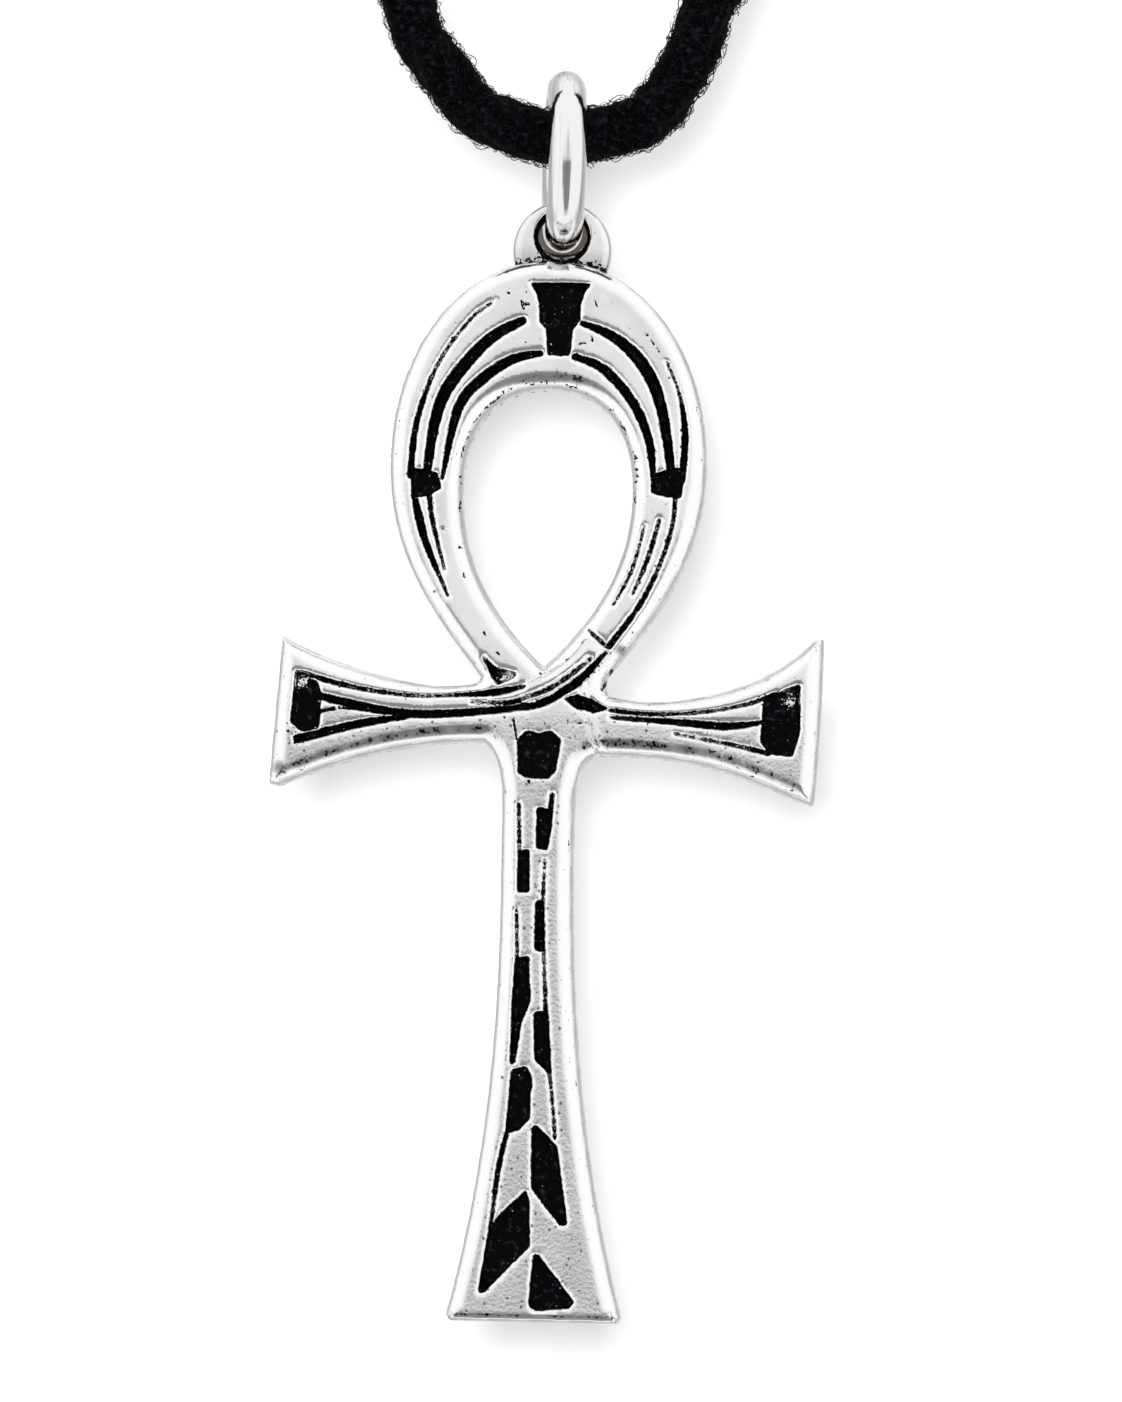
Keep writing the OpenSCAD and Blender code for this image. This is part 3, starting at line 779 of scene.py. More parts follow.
    def front_rise(self, where: np.ndarray) -> tuple[np.ndarray, dict[str, np.ndarray]]:
        """Gives the front's height over the middle plane and its finish.

        Args:
            where: points, x and z in millimetres.

        Returns:
            Heights, and shares of blackening with painted shade, grain, wear with painted highlight, and
            brown with painted shade, by name.
        """
        edge, normals = self.outline.measure(where)
        recess, _ = self.recess.measure(where)
        strand, _ = self.strand.measure(where)
        rise = self.shoulder_rise(where, edge, normals)
        rise += self.strand_height * np.clip(strand / self.strand_round + 0.15, 0, 1) ** 0.7
        outside = np.clip(recess, 0, None)
        rise -= self.pillow * (1 - np.clip(outside / self.pillow_reach, 0, 1)) ** 2
        rise -= self.lip * (1 - np.sqrt(1 - (1 - np.clip(outside / self.lip, 0, 1)) ** 2))
        inside = np.clip(-recess / self.wall, 0, 1)
        rise -= (self.floor_depth - self.lip - self.pillow) * inside * inside * (3 - 2 * inside)
        rise += self.wave_height * perlin(where, 1.9, 0.0)
        rise += self.floor_roughness * perlin(where, 0.3, 5.0) * inside
        patina_and_shade = np.clip(0.5 - recess / 0.2, 0, 1)
        patina_and_shade *= 1 - 0.6 * self.spotted(where, self.worn_spots)
        chip, _ = self.chips.measure(where)
        rise -= self.chip_depth * np.clip(-chip / 0.05, 0, 1)
        strand_foot = np.clip(1 - np.abs(strand + 0.03) / 0.06, 0, 1) * 0.5
        # Painted shade and dark reflections along the edges join the blackening, and their brown joins the
        # brown tint.
        black, brown = self.painted_edge_shade(where, edge, normals)
        black = np.maximum(np.clip(0.5 - chip / 0.07, 0, 1), np.maximum(strand_foot, black))
        panel = edge + np.where(self.at_foot(where, normals), 0.3, 0.0)
        grain = np.clip((self.grain_below - where[:, 1]) / 1.5, 0, 1) * np.clip((panel - 0.6) / 0.15, 0, 1)
        grain *= np.clip((recess - 0.1) / 0.08, 0, 1)
        # Bright tint along the recesses' lips and in a band 0.35 mm in from the outline: polish wear with a
        # painted highlight.
        worn = np.clip(1.5 - np.abs(recess - 0.08) / 0.08, 0, 1)
        worn = worn + np.clip(1.5 - np.abs(edge - 0.35) / 0.25, 0, 1)
        # Brown: real grain and rust spots, with the painted dark reflections along edges.
        brown = np.maximum(np.maximum(brown, 0.2 * grain), 0.8 * self.spotted(where, self.rust_spots))
        worn = np.clip(worn, 0, 1) * (1 - brown)
        return rise, {"patina_and_shade": np.maximum(patina_and_shade, black), "grain": grain, "worn": worn, "tarnish_and_shade": brown}

    def back_rise(self, where: np.ndarray) -> np.ndarray:
        """Gives the plain back's height over the middle plane.

        Args:
            where: points, x and z in millimetres.

        Returns:
            Heights, negative towards the back.
        """
        edge, _ = self.outline.measure(where)
        t = np.clip((edge - 0.1) / self.back_round, 0, 1)
        steep = self.half - self.back_round
        wall = steep * np.clip(edge / 0.1, 0, 1)
        return -np.where(edge < 0.1, wall, steep + self.back_round * np.sqrt(1 - (1 - t) ** 2))

    def lattice(self, pitch: float, clear: float) -> np.ndarray:
        """Gives points of a triangular lattice inside the metal.

        Args:
            pitch: distance between points.
            clear: how far they keep off the outline.

        Returns:
            The points, x and z.
        """
        low, high = self.outline.points.min(0), self.outline.points.max(0)
        rows = np.arange(low[1], high[1], pitch * math.sqrt(3) / 2)
        columns = np.arange(low[0], high[0], pitch)
        x = columns[None, :] + (np.arange(len(rows)) % 2)[:, None] * pitch / 2
        points = np.stack([x.ravel(), np.repeat(rows, len(columns))], 1)
        distance, _ = self.outline.measure(points)
        return points[distance > clear]

    @staticmethod
    def thinned(points: np.ndarray, kept: int, cell: float) -> np.ndarray:
        """Drops points that share a cell with an earlier one.

        Args:
            points: x and z, those that matter most first.
            kept: how many of the first points always stay.
            cell: the cell's side.

        Returns:
            The points that are left.
        """
        keys = np.floor(points / cell).astype(np.int64)
        _, first = np.unique(keys, axis=0, return_index=True)
        chosen = np.union1d(first, np.arange(kept))
        return points[chosen]

    def triangulated(self, extra: list[np.ndarray], cell: float) -> tuple[np.ndarray, list]:
        """Fills the outline with triangles over the given points.

        Args:
            extra: point sets, those that matter most first.
            cell: size of the cell that holds at most one point.

        Returns:
            Points, x and z, and triangles that run counter-clockwise from the front.
        """
        rims = [resample(line, 0.13) for line in self.outline.lines]
        border = np.vstack(rims)
        edges, start = [], 0
        for rim in rims:
            edges += [(start + k, start + (k + 1) % len(rim)) for k in range(len(rim))]
            start += len(rim)
        points = self.thinned(np.vstack([border] + extra), len(border), cell)
        result = geometry.delaunay_2d_cdt([Vector(p) for p in points.tolist()], edges, [], 0, 1e-6)
        flat = np.array([tuple(v) for v in result[0]])
        triangles = np.array(result[2])
        inside, _ = self.outline.measure(flat[triangles].mean(1))
        return flat, triangles[inside > 0].tolist()

    def relief(self) -> tuple[np.ndarray, list, dict[str, np.ndarray]]:
        """Builds the casting's front and back.

        Returns:
            Points in millimetres, triangles and shares of the finish, painted shade and painted highlight
            among them, by name.
        """
        extra = [self.recess.shifted(0.09, inward) for inward in (0.0, -0.04, 0.03, -0.08, 0.07, 0.12)]
        extra += [self.outline.shifted(0.14, inward)
                  for inward in (0.04, 0.09, 0.15, 0.21, 0.28, 0.37, 0.48, 0.6, 0.74, 0.9)]
        extra += [self.strand.shifted(0.1, inward) for inward in (-0.05, 0.0, 0.06, 0.15)]
        extra += [self.chips.shifted(0.06, inward) for inward in (0.0, -0.035, 0.05)]
        extra.append(self.lattice(0.2, 0.06))
        flat, front = self.triangulated(extra, 0.042)
        rise, shares = self.front_rise(flat)
        back_extra = [self.outline.shifted(0.16, inward) for inward in (0.05, 0.1, 0.15, 0.22, 0.32, 0.42)]
        back_flat, back = self.triangulated(back_extra + [self.lattice(0.8, 0.5)], 0.05)
        back_rise = self.back_rise(back_flat)
        points = np.vstack([
            np.stack([flat[:, 0], self.middle - rise, flat[:, 1]], 1),
            np.stack([back_flat[:, 0], self.middle - back_rise, back_flat[:, 1]], 1)])
        triangles = front + [[len(flat) + c, len(flat) + b, len(flat) + a] for a, b, c in back]
        clean = np.zeros(len(back_flat))
        return points, triangles, {name: np.concatenate([share, clean]) for name, share in shares.items()}

    def bail(self) -> tuple[np.ndarray, list, dict[str, np.ndarray]]:
        """Builds the bail, a thick rounded eyelet that stands on the crown.

        Returns:
            Points in millimetres, faces and shares of the finish and of painted shade by name.
        """
        around, across = self.bail_steps
        turn = np.linspace(0, 2 * math.pi, around, endpoint=False)
        outer = self.bail_radius * np.stack([np.sin(turn), np.cos(turn)], 1) - (0, self.bail_drop)
        outer[:, 1] = np.maximum(outer[:, 1], self.bail_foot)
        bend = np.linspace(0, 2 * math.pi, across, endpoint=False)
        inward = np.clip(-np.cos(bend), 0, 1)
        throat_r = self.bail_throat - self.bail_narrowing * np.clip(-np.cos(turn), 0, 1) ** 1.6
        inner_r = self.bail_mouth + (throat_r - self.bail_mouth)[:, None] * (inward ** 1.5)[None, :]
        inner = inner_r[..., None] * np.stack([np.sin(turn), np.cos(turn)], 1)[:, None, :]
        out_share = (0.15 + 0.85 * np.clip(np.cos(bend), 0, 1) ** 0.6) * (inward == 0)
        depth = self.bail_half * np.sign(np.sin(bend)) * np.abs(np.sin(bend)) ** 0.6
        flat = inner * (1 - out_share)[None, :, None] + outer[:, None, :] * out_share[None, :, None]
        points = np.stack([flat[..., 0] + self.bore[0], np.broadcast_to(self.middle - depth, flat.shape[:2]),
                           flat[..., 1] + self.bore[1]], 2).reshape(-1, 3)
        crown, _ = self.outline.measure(points[:, [0, 2]])
        crevice = np.clip(1 - np.abs(crown + 0.05) / 0.3, 0, 1) * 0.8
        # Painted shade: black inside the bail's bore, round its countersink and down its walls except at the
        # bottom.
        painted_bore_band = np.clip((self.bail_mouth - 0.02 - inner_r) / 0.04, 0, 1)
        painted_bore_band = painted_bore_band * np.clip((inner_r - 1.04) / 0.04, 0, 1)
        side = np.clip(1.3 + np.cos(turn) * 2, 0, 1)[:, None] * (inner_r < 1.2)
        # Painted shade: a dark brown crescent low down, deep in the bore.
        painted_throat_shade = np.clip((1.02 - inner_r) / 0.05, 0, 1) * (inward > 0)
        bore = np.maximum(np.maximum(painted_bore_band, side * (inward > 0)) * 0.95, painted_throat_shade * 0.36)
        # Painted shade: brownish grey on the bail near where it meets the crown.
        dull = np.clip(1 - np.abs(crown + 0.05) / 0.9, 0, 1) * 0.4
        shares = {"patina_and_shade": np.maximum(crevice, bore.ravel()), "tarnish_and_shade": np.maximum(painted_throat_shade.ravel(), dull)}
        return points, ring_faces(around, across), shares

    def build(self, finish: bpy.types.Material) -> bpy.types.Object:
        """Joins casting and bail and dresses them.

        Args:
            finish: the antiqued silver.

        Returns:
            The piece, riding with its body.
        """
        points, triangles, shares = self.relief()
        bail_points, bail_faces, bail_shares = self.bail()
        faces = triangles + [tuple(c + len(points) for c in face) for face in bail_faces]
        obj = object_of("cast_ankh", np.vstack([points, bail_points]), faces, finish)
        for name in ("patina_and_shade", "grain", "worn", "tarnish_and_shade"):
            values = np.concatenate([shares.get(name, np.zeros(len(points))),
                                     bail_shares.get(name, np.zeros(len(bail_points)))])
            layer = obj.data.attributes.new(name, "FLOAT", "POINT")
            layer.data.foreach_set("value", values.astype(np.float32))
        face_outwards(obj)
        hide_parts("ankh")
        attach(obj, self.body)
        LOG.info("cast_ankh: %d faces", len(obj.data.polygons))
        return obj


@dataclass
class JumpRing:
    """The round wire ring, turned a little about the vertical as it hangs."""

    around: int = 200
    across: int = 40
    drift: float = 0.5
    body: str = "ring"

    def build(self, finish: bpy.types.Material) -> bpy.types.Object:
        """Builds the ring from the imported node's box and its hinge.

        Args:
            finish: the polished wire.

        Returns:
            The piece, riding with its body.
        """
        low, high = (np.array(corner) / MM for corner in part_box("jump_ring"))
        axis = np.array(joint_named("ring_swing")["axis"])
        lowest = LevelCut(frame["nodes"]["jump_ring"]).lines((low[1] + high[1]) / 2)
        wire = max(np.ptp(line[:, 1]) for line in lowest) / 2
        ring = (high[2] - low[2]) / 2 - wire
        centre = (low + high) / 2
        flat = np.cross(axis, (0, 0, 1))
        up = np.array((0, 0, 1.0))
        a = np.linspace(0, 2 * math.pi, self.around, endpoint=False)[:, None]
        b = np.linspace(0, 2 * math.pi, self.across, endpoint=False)[None, :]
        reach = ring + wire * np.cos(b)
        points = (centre + (reach * np.cos(a))[..., None] * flat + (reach * np.sin(a))[..., None] * up
                  + (wire * np.sin(b) * np.ones_like(a))[..., None] * axis).reshape(-1, 3)
        obj = object_of("jump_ring_wire", points, ring_faces(self.around, self.across), finish)
        section = np.stack(np.broadcast_arrays(wire * np.cos(b), wire * np.sin(b), self.drift * np.cos(a)), 2)
        layer = obj.data.attributes.new("die", "FLOAT_VECTOR", "POINT")
        layer.data.foreach_set("vector", section.ravel().astype(np.float32))
        face_outwards(obj)
        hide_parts("jump_ring")
        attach(obj, self.body)
        LOG.info("jump_ring_wire: wire %.2f mm, mean radius %.2f mm", wire * 2, ring)
        return obj


def curve_of(name: str, points: np.ndarray) -> bpy.types.Object:
    """Makes a poly curve.

    Args:
        name: the curve's name.
        points: its points in millimetres.

    Returns:
        The linked object.
    """
    data = bpy.data.curves.new(name, "CURVE")
    data.dimensions = "3D"
    spline = data.splines.new("POLY")
    spline.points.add(len(points) - 1)
    flat = np.hstack([np.asarray(points) * MM, np.ones((len(points), 1))])
    spline.points.foreach_set("co", flat.ravel())
    return linked(name, data)


def through(points: np.ndarray, steps: int) -> np.ndarray:
    """Gives a smooth line through an open row of points.

    Args:
        points: the row.
        steps: new points for each old one.

    Returns:
        The line's points.
    """
    rows = []
    for i in range(len(points) - 1):
        a, b, c = points[max(i - 1, 0)], points[i], points[i + 1]
        d = points[min(i + 2, len(points) - 1)]
        for t in np.arange(steps) / steps:
            rows.append(b + t * ((c - a) / 2 + t * ((2 * a - 5 * b + 4 * c - d) / 2
                                                      + t * (3 * b - a - 3 * c + d) / 2)))
    return np.array(rows + [points[-1]])


class GrowthTree:
    """A Geometry Nodes tree with named inputs, whose shape is made real and dressed at its end."""

    SOCKETS: tuple = ()

    def __init__(self, name: str) -> None:
        """Builds the tree.

        Args:
            name: the tree's name.
        """
        self.tree = bpy.data.node_groups.new(name, "GeometryNodeTree")
        for way in ("INPUT", "OUTPUT"):
            self.tree.interface.new_socket("Geometry", in_out=way, socket_type="NodeSocketGeometry")
        for label, kind, value in self.SOCKETS + (("Finish", "NodeSocketMaterial", None),):
            socket = self.tree.interface.new_socket(label, in_out="INPUT", socket_type=kind)
            if value is not None:
                socket.default_value = value
        self.given = add_node(self.tree, "NodeGroupInput").outputs
        real = add_node(self.tree, "GeometryNodeRealizeInstances", {}, (self.shape(),))
        dressed = add_node(self.tree, "GeometryNodeSetMaterial", {}, {
            "Geometry": real, "Material": self.given["Finish"]})
        add_node(self.tree, "NodeGroupOutput", {}, (dressed,))

    def shape(self) -> bpy.types.Node:
        """Adds the nodes that make the shape and returns the last of them."""
        raise NotImplementedError


class YarnTree(GrowthTree):
    """Geometry Nodes that lay plies round a line."""

    PLIES = 3
    SOCKETS = (("Plies apart", "NodeSocketFloat", 0.42 * MM), ("Ply radius", "NodeSocketFloat", 0.84 * MM),
               ("Twist", "NodeSocketFloat", 2 * math.pi / (12.0 * MM)), ("Step", "NodeSocketFloat", 0.3 * MM),
               ("Uneven", "NodeSocketFloat", 0.3 * MM))

    def shape(self) -> bpy.types.Node:
        """Adds the plies on the resampled line.

        Returns:
            The node that gives their smooth, uneven surface.
        """
        line = add_node(self.tree, "GeometryNodeResampleCurve", {"mode": "LENGTH"}, {
            "Curve": self.given["Geometry"], "Length": self.given["Step"]})
        joined = add_node(self.tree, "GeometryNodeJoinGeometry")
        for number in range(self.PLIES):
            ply = self.ply(line, number * 2 * math.pi / self.PLIES)
            self.tree.links.new(ply.outputs[0], joined.inputs[0])
        return add_node(self.tree, "GeometryNodeSetShadeSmooth", {}, (self.uneven(joined),))

    def ply(self, line: bpy.types.Node, phase: float) -> bpy.types.Node:
        """Winds one ply round the line.

        Args:
            line: the resampled curve.
            phase: angle at which it starts.

        Returns:
            The node that gives its mesh.
        """
        tree = self.tree
        along = add_node(tree, "GeometryNodeSplineParameter").outputs["Length"]
        angle = add_node(tree, "ShaderNodeMath", {"operation": "MULTIPLY_ADD"}, (
            along, self.given["Twist"], phase))
        turned = add_node(tree, "ShaderNodeVectorRotate", {"rotation_type": "AXIS_ANGLE"}, {
            "Vector": add_node(tree, "GeometryNodeInputNormal"),
            "Axis": add_node(tree, "GeometryNodeInputTangent"), "Angle": angle})
        away = add_node(tree, "ShaderNodeVectorMath", {"operation": "SCALE"}, {
            0: turned, "Scale": self.given["Plies apart"]})
        moved = add_node(tree, "GeometryNodeSetPosition", {}, {"Geometry": line, "Offset": away})
        circle = add_node(tree, "GeometryNodeCurvePrimitiveCircle", {}, {
            "Resolution": 14, "Radius": self.given["Ply radius"]})
        return add_node(tree, "GeometryNodeCurveToMesh", {}, {
            "Curve": moved, "Profile Curve": circle, "Fill Caps": True})

    def uneven(self, mesh: bpy.types.Node) -> bpy.types.Node:
        """Pushes the surface in and out by noise, as soft yarn lies.

        Args:
            mesh: the plies.

        Returns:
            The node that gives the uneven plies.
        """
        tree = self.tree
        lumps = add_node(tree, "ShaderNodeTexNoise", {}, {"Scale": 1 / (0.6 * MM), "Detail": 3.0})
        centred = add_node(tree, "ShaderNodeMath", {"operation": "SUBTRACT"}, (lumps, 0.5))
        push = add_node(tree, "ShaderNodeMath", {"operation": "MULTIPLY"}, (centred, self.given["Uneven"]))
        twice = add_node(tree, "ShaderNodeMath", {"operation": "MULTIPLY"}, (push, 2.0))
        offset = add_node(tree, "ShaderNodeVectorMath", {"operation": "SCALE"}, {
            0: add_node(tree, "GeometryNodeInputNormal"), "Scale": twice})
        return add_node(tree, "GeometryNodeSetPosition", {}, {"Geometry": mesh, "Offset": offset})


class FibreTree(GrowthTree):
    """Geometry Nodes that let stray fibres stand off a yarn's surface.

    A real cotton fibre is too thin to show in the render, so each is drawn as thick as it needs to show.
    """

    SOCKETS = (("Near density", "NodeSocketFloat", 9.5e6), ("Far density", "NodeSocketFloat", 0.15e6),
               ("Near below", "NodeSocketFloat", -0.222), ("Fibre length", "NodeSocketFloat", 0.52 * MM),
               ("Fibre radius", "NodeSocketFloat", 0.017 * MM), ("Seed", "NodeSocketInt", 7))
    BENDS = ((-0.5, 0.0, -0.12), (0.0, 0.25, 0.55), (0.5, -0.1, -0.05))

    def shape(self) -> bpy.types.Node:
        """Strews fibres over the surface, close together below a height and thinly above it.

        Returns:
            The node that gives the fibres.
        """
        tree, given = self.tree, self.given
        position = add_node(tree, "GeometryNodeInputPosition")
        height = add_node(tree, "ShaderNodeSeparateXYZ", {}, (position,)).outputs[2]
        near = add_node(tree, "ShaderNodeMath", {"operation": "LESS_THAN"}, (height, given["Near below"]))
        more = add_node(tree, "ShaderNodeMath", {"operation": "SUBTRACT"}, (
            given["Near density"], given["Far density"]))
        density = add_node(tree, "ShaderNodeMath", {"operation": "MULTIPLY_ADD"}, (
            near, more, given["Far density"]))
        spots = add_node(tree, "GeometryNodeDistributePointsOnFaces", {}, {
            "Mesh": given["Geometry"], "Density": density, "Seed": given["Seed"]})
        strewn = add_node(tree, "FunctionNodeRandomValue", {"data_type": "FLOAT_VECTOR"}, {
            0: (-0.5, -0.5, -3.1), 1: (0.5, 0.5, 3.1), "Seed": given["Seed"]})
        turn = add_node(tree, "FunctionNodeEulerToRotation", {}, (strewn,))
        tilt = add_node(tree, "FunctionNodeRotateRotation", {"rotation_space": "LOCAL"}, (
            spots.outputs["Rotation"], turn))
        size = add_node(tree, "FunctionNodeRandomValue", {"data_type": "FLOAT"}, {
            2: 0.4, 3: 1.4, "Seed": given["Seed"]})
        return add_node(tree, "GeometryNodeInstanceOnPoints", {}, {
            "Points": spots, "Instance": self.fibre(), "Rotation": tilt, "Scale": size.outputs[1]})

    def fibre(self) -> bpy.types.Node:
        """Adds one curled fibre that starts at the origin and stands along Z.

        Returns:
            The node that gives its mesh.
        """
        start, middle, end = (
            add_node(self.tree, "ShaderNodeVectorMath", {"operation": "SCALE"}, {
                0: bend, "Scale": self.given["Fibre length"]})
            for bend in self.BENDS)
        arc = add_node(self.tree, "GeometryNodeCurveQuadraticBezier", {}, {
            "Resolution": 4, "Start": start, "Middle": middle, "End": end})
        section = add_node(self.tree, "GeometryNodeCurvePrimitiveCircle", {}, {
            "Resolution": 3, "Radius": self.given["Fibre radius"]})
        return add_node(self.tree, "GeometryNodeCurveToMesh", {}, {
            "Curve": arc, "Profile Curve": section, "Fill Caps": True})


def grown(name: str, base: bpy.types.Object, tree: bpy.types.NodeTree, inputs: dict) -> bpy.types.Object:
    """Runs a Geometry Nodes tree on an object and keeps the result as a plain mesh.

    Args:
        name: the new piece's name.
        base: the curve or mesh that the tree reads.
        tree: the tree.
        inputs: values by the names of the tree's inputs.

    Returns:
        The new object.
    """
    modifier = base.modifiers.new(tree.name, "NODES")
    modifier.node_group = tree
    for item in tree.interface.items_tree:
        if item.item_type == "SOCKET" and item.in_out == "INPUT" and item.name in inputs:
            modifier[item.identifier] = inputs[item.name]
    base.update_tag()
    bpy.context.view_layer.update()
    evaluated = base.evaluated_get(bpy.context.evaluated_depsgraph_get())
    mesh = bpy.data.meshes.new_from_object(evaluated)
    mesh.name = name
    base.modifiers.remove(modifier)
    return linked(name, mesh)


@dataclass
class NeckCord:
    """The plied cord, one loop from the knot at the nape down to the ring, and its stray fibres."""

    route: tuple = (
        (4, 3.3, 0), (10, 3, -0.3), (20, 0.5, -1.5), (32, -6, -4.5), (44, -17, -9), (53, -31, -16),
        (59, -47, -26), (62, -64, -38), (62, -81, -53), (60, -96, -70), (56, -108, -90),
        (50, -117, -112), (40, -125, -140), (29.5, -132, -168), (19, -137.5, -196),
        (11, -141, -218.5), (8.6, -141.6, -225.5), (7, -141.9, -230), (6, -142, -232.2),
        (4.4, -142, -234.4), (2.3, -142, -235.6), (0, -142, -236))
    plies_apart: float = 0.42
    ply_radius: float = 0.84
    lay: float = 12.0
    aside: float = 0.45
    drawn_in: float = 0.16
    wisp_length: float = 0.86
    wisp_radius: float = 0.019
    wisps_near: float = 4.5e6
    wisps_far: float = 0.05e6
    wisp_seed: int = 11
    body: str = "cord_loop"

    def line(self) -> np.ndarray:
        """Gives the cord's centre line, its lower stretch a little to the left and drawn in as it hangs.

        Returns:
            Points of the closed loop in millimetres.
        """
        half = through(np.array(self.route, float), 8)
        line = np.vstack([half, half[-2::-1] * (-1, 1, 1)])
        swing = np.clip((line[:, 2] + 235.5) / 5, 0, 1) * np.clip((-195 - line[:, 2]) / 25, 0, 1)
        swing = swing * swing * (3 - 2 * swing)
        line[:, 0] -= (self.aside + self.drawn_in * np.sign(line[:, 0])) * swing
        return line

    def build(self, yarn: YarnTree, fibres: FibreTree, finish: bpy.types.Material,
              stray: bpy.types.Material) -> list[bpy.types.Object]:
        """Builds the cord and its fibres.

        Args:
            yarn: tree of the plies.
            fibres: tree of the fibres.
            finish: the brushed yarn.
            stray: the finish of fibres that stand in the light.

        Returns:
            The cord, its short fibres and its longer wisps.
        """
        base = curve_of("cord_line", self.line())
        cord = grown("plied_cord", base, yarn.tree, {
            "Plies apart": self.plies_apart * MM, "Ply radius": self.ply_radius * MM,
            "Twist": 2 * math.pi / (self.lay * MM), "Finish": finish})
        bpy.data.objects.remove(base)
        fuzz = grown("cord_fibres", cord, fibres.tree, {"Finish": stray})
        wisps = grown("cord_wisps", cord, fibres.tree, {
            "Near density": self.wisps_near, "Far density": self.wisps_far, "Seed": self.wisp_seed,
            "Fibre length": self.wisp_length * MM, "Fibre radius": self.wisp_radius * MM, "Finish": stray})
        for obj in (cord, fuzz, wisps):
            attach(obj, self.body)
            obj.data.calc_loop_triangles()
            LOG.info("%s: %d triangles", obj.name, len(obj.data.loop_triangles))
        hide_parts("cord")
        return [cord, fuzz, wisps]


@dataclass
class NapeKnot:
    """The hidden join at the nape: the cord's ends side by side under three tight turns."""

    turns: float = 3.0
    pitch: float = 2.1
    wrap_radius: float = 1.95
    ply_radius: float = 0.62
    tucked_radius: float = 0.5
    body: str = "cord_loop"

    def build(self, yarn: YarnTree, finish: bpy.types.Material) -> bpy.types.Object:
        """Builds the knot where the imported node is.

        Args:
            yarn: tree of the plies.
            finish: the brushed yarn.

        Returns:
            The piece.
        """
        low, high = (np.array(corner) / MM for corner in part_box("knot"))
        centre = (low + high) / 2
        t = np.linspace(0, 1, 160)
        angle = t * self.turns * 2 * math.pi
        tuck = np.minimum(1, np.minimum(t, 1 - t) * 12)
        radius = self.tucked_radius + (self.wrap_radius - self.tucked_radius) * np.sin(tuck * math.pi / 2)
        winding = np.stack([(t - 0.5) * self.turns * self.pitch, radius * np.sin(angle),
                            radius * np.cos(angle)], 1) + centre
        core = np.array([(low[0] - 0.2, centre[1], centre[2]), (high[0] + 0.2, centre[1], centre[2])])
        inputs = {"Ply radius": self.ply_radius * MM, "Finish": finish}
        parts = []
        for name, points in (("nape_knot", winding), ("knot_core", through(core, 20))):
            base = curve_of(name + "_line", points)
            parts.append(grown(name, base, yarn.tree, inputs))
            bpy.data.objects.remove(base)
        shell = bmesh.new()
        for part in parts:
            shell.from_mesh(part.data)
        shell.to_mesh(parts[0].data)
        shell.free()
        bpy.data.objects.remove(parts[1])
        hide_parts("knot")
        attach(parts[0], self.body)
        return parts[0]


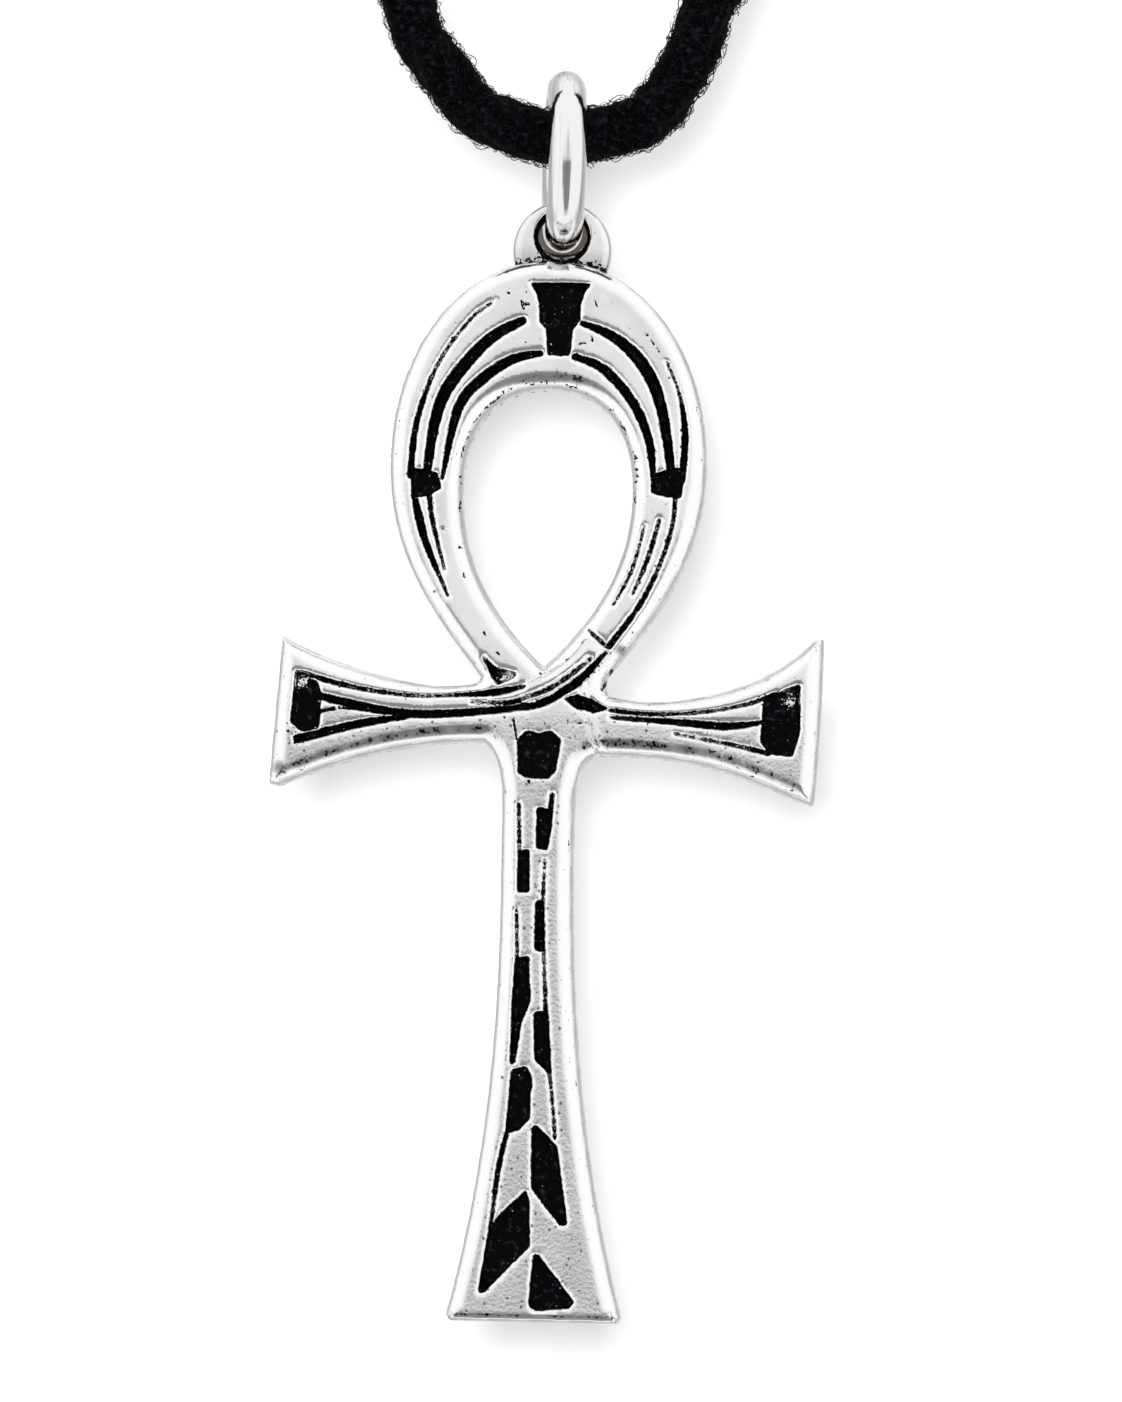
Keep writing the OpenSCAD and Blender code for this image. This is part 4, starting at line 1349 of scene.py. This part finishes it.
@dataclass
class Studio:
    """Camera, light tent, near-axis key light, the board behind the pendant and the floor.

    The pendant in the photo lies on its ground, which is in deep shade where it shows through the bail. The
    board stands further back, so it carries that shade as a small soft spot behind the bail's hole.
    """

    photo_px: tuple = (1122, 1402)
    px_per_mm: float = 22.0
    centre_mm: tuple = (0.395, -142.0, -261.7)
    azimuth_deg: float = 2.5
    elevation_deg: float = -4.0
    roll_deg: float = 1.3
    distance: float = 0.45
    board_gap: float = 0.062
    board_aside: float = -0.002
    board_above: float = 0.005
    board_half: float = 0.064
    board_fade: tuple = (0.050, 0.062)
    board_white: float = 0.7
    floor_level: float = -0.33
    floor_half: float = 1.0
    floor_fade: tuple = (0.2, 0.9)
    floor_white: float = 0.85
    key_size: float = 0.03
    key_power: float = 2.3
    key_aside: float = 0.014
    key_above: float = 0.024
    shade: str = "#5a514b"
    shade_mm: tuple = (1.75, 1.35)

    def directions(self) -> tuple[Vector, Vector]:
        """Works out where the photo was taken from.

        Returns:
            The pendant's centre and the unit vector from it to the camera.
        """
        a, e = math.radians(self.azimuth_deg), math.radians(self.elevation_deg)
        back = Vector((math.sin(a) * math.cos(e), -math.cos(a) * math.cos(e), math.sin(e)))
        return Vector(self.centre_mm) * MM, back

    def camera(self) -> None:
        """Sets the camera at the photo's angle and framing."""
        centre, back = self.directions()
        data = bpy.data.cameras.new("camera")
        data.sensor_width = 36.0
        half_height = self.photo_px[1] / self.px_per_mm * MM / 2
        data.lens = data.sensor_width / 2 * self.distance / half_height
        data.clip_start, data.clip_end = 0.01, 50.0
        camera = linked("camera", data)
        turn = (-back).to_track_quat("-Z", "Y").to_matrix().to_4x4()
        roll = Matrix.Rotation(math.radians(self.roll_deg), 4, "Z")
        camera.matrix_world = Matrix.Translation(centre + back * self.distance) @ turn @ roll
        bpy.context.scene.camera = camera

    def world(self) -> None:
        """Lights the scene from a white tent, with darker parts that the silver mirrors.

        They are the opening at the front, where the lens is, and a dim gap round the board.
        """
        world = bpy.data.worlds.new("light_tent")
        bpy.context.scene.world = world
        world.use_nodes = True
        tree = world.node_tree
        tree.nodes.clear()
        place = add_node(tree, "ShaderNodeTexCoord").outputs["Generated"]
        x, y, z = add_node(tree, "ShaderNodeSeparateXYZ", {}, (place,)).outputs
        front = add_node(tree, "ShaderNodeMath", {"operation": "MULTIPLY"}, (y, -1.0))
        polar, turn, height = (
            add_node(tree, "ShaderNodeMath", {"operation": "MULTIPLY"}, (
                add_node(tree, "ShaderNodeMath", {"operation": operation}, values), 180 / math.pi))
            for operation, values in (("ARCCOSINE", (front,)), ("ARCTAN2", (x, front)), ("ARCSINE", (z,))))
        sideways = add_node(tree, "ShaderNodeMath", {"operation": "ABSOLUTE"}, (turn,))
        parts = (
            (0.16, ((polar, 36.0, 12.0),)),
            (0.75, ((sideways, 34.0, 20.0), (height, 3.0, -8.0), (height, -80.0, -68.0))),
            (0.5, ((polar, 92.0, 112.0), (polar, 168.0, 128.0, 0.45, 1.0), (height, 62.0, 25.0))))
        level = 1.0
        for darkness, edges in parts:
            for edge in edges:
                inside = add_node(tree, "ShaderNodeMapRange", SMOOTH, edge)
                darkness = add_node(tree, "ShaderNodeMath", {"operation": "MULTIPLY"}, (darkness, inside))
            left = add_node(tree, "ShaderNodeMath", {"operation": "SUBTRACT"}, (1.0, darkness))
            level = add_node(tree, "ShaderNodeMath", {"operation": "MINIMUM"}, (level, left))
        colour = add_node(tree, "ShaderNodeCombineColor", {}, (level, level, level))
        surface = add_node(tree, "ShaderNodeBackground", {}, {"Color": colour, "Strength": 1.0})
        add_node(tree, "ShaderNodeOutputWorld", {}, (surface,))

    def key(self) -> None:
        """Puts a small soft light just up and left of the lens, so that the shadow hugs the pendant."""
        centre, back = self.directions()
        data = bpy.data.lights.new("key", "AREA")
        data.shape = "DISK"
        data.size = self.key_size
        data.energy = self.key_power
        light = linked("key", data)
        side = back.cross(Vector((0, 0, 1))).normalized()
        aim = (back + side * self.key_aside + Vector((0, 0, self.key_above))).normalized()
        turn = aim.to_track_quat("Z", "Y").to_matrix().to_4x4()
        light.matrix_world = Matrix.Translation(centre + aim * self.distance) @ turn
        light.visible_glossy = False
        light.visible_camera = False

    def board_material(self, name: str, albedo: float, fade: tuple,
                       contact: tuple | None = None) -> bpy.types.Material:
        """Builds a matt white surface that fades out towards its rim.

        Args:
            name: the material's name.
            albedo: how much light it gives back.
            fade: distances from the middle where it starts to fade and is gone, in metres.
            contact: place of the dark contact shade on a board that is only seen from the front.

        Returns:
            The material.
        """
        material, tree, output = fresh_material(name)
        place = add_node(tree, "ShaderNodeUVMap").outputs[0]
        length = add_node(tree, "ShaderNodeVectorMath", {"operation": "LENGTH"}, (place,)).outputs["Value"]
        gone = add_node(tree, "ShaderNodeMapRange", SMOOTH, (length, *fade))
        colour = (albedo, albedo, albedo, 1.0)
        if contact:
            behind = add_node(tree, "ShaderNodeNewGeometry").outputs["Backfacing"]
            gone = add_node(tree, "ShaderNodeMath", {"operation": "MAXIMUM"}, (gone, behind))
            away = add_node(tree, "ShaderNodeVectorMath", {"operation": "DISTANCE"}, (place, contact))
            near = add_node(tree, "ShaderNodeMapRange", SMOOTH, (
                away.outputs["Value"], self.shade_mm[0] * MM, self.shade_mm[1] * MM))
            colour = add_node(tree, "ShaderNodeMix", COLOURS, {
                0: near, 6: colour, 7: linear(self.shade)}).outputs[2]
        white = add_node(tree, "ShaderNodeBsdfDiffuse", {}, {"Color": colour})
        clear = add_node(tree, "ShaderNodeBsdfTransparent")
        mixed = add_node(tree, "ShaderNodeMixShader", {}, (gone, white, clear))
        tree.links.new(mixed.outputs[0], output.inputs[0])
        return material

    def sheet(self, name: str, centre: Vector, across: Vector, up: Vector, half: float,
              material: bpy.types.Material) -> bpy.types.Object:
        """Makes a square stage sheet whose UV map counts metres from its middle.

        Args:
            name: the sheet's name.
            centre: its middle.
            across: unit vector along its U.
            up: unit vector along its V.
            half: half its side, in metres.
            material: its finish.

        Returns:
            The sheet.
        """
        corners = [(-1, -1), (1, -1), (1, 1), (-1, 1)]
        mesh = bpy.data.meshes.new(name)
        mesh.from_pydata([centre + (across * u + up * v) * half for u, v in corners], [], [(0, 1, 2, 3)])
        layer = mesh.uv_layers.new(name="metres")
        for loop, (u, v) in zip(layer.data, corners):
            loop.uv = (u * half, v * half)
        mesh.materials.append(material)
        obj = linked(name, mesh)
        return obj

    def build(self) -> None:
        """Builds the studio."""
        self.camera()
        self.world()
        self.key()
        centre, back = self.directions()
        middle = centre + Vector((self.board_aside, self.board_gap, self.board_above))
        eye = centre + back * self.distance
        hole = Vector(joint_named("ankh_sway")["pos_m"])
        seen = eye + (hole - eye) * ((middle.y - eye.y) / (hole.y - eye.y)) - middle
        x, y, z = Vector((1, 0, 0)), Vector((0, 1, 0)), Vector((0, 0, 1))
        board = self.board_material("matt_board", self.board_white, self.board_fade, (seen.x, seen.z, 0.0))
        rear = self.sheet("board", middle, x, z, self.board_half, board)
        floor = self.board_material("matt_floor", self.floor_white, self.floor_fade)
        ground = self.sheet("floor", Vector((0, centre.y, self.floor_level)), x, y, self.floor_half, floor)
        rear.visible_glossy = ground.visible_glossy = False


def main() -> None:
    """Builds the studio and the pieces in order, and logs the casting, the ring and the cord."""
    logging.basicConfig(level=logging.INFO, format="%(name)s: %(message)s")
    Studio().build()
    CastAnkh().build(AntiquedSilver().material())
    JumpRing().build(PolishedSilver().material())
    yarn, fibres = YarnTree("plied_yarn"), FibreTree("stray_fibres")
    cotton = SoftYarn().material()
    # The stray fibres are a little lighter, and so is their painted highlight.
    stray = SoftYarn(name="stray_cotton_fibre", black="#050608", highlight_blue="#1e2025").material()
    NeckCord().build(yarn, fibres, cotton, stray)
    NapeKnot().build(yarn, cotton)
    bpy.context.scene.view_settings.view_transform = "Standard"


if __name__ == "__main__":
    main()
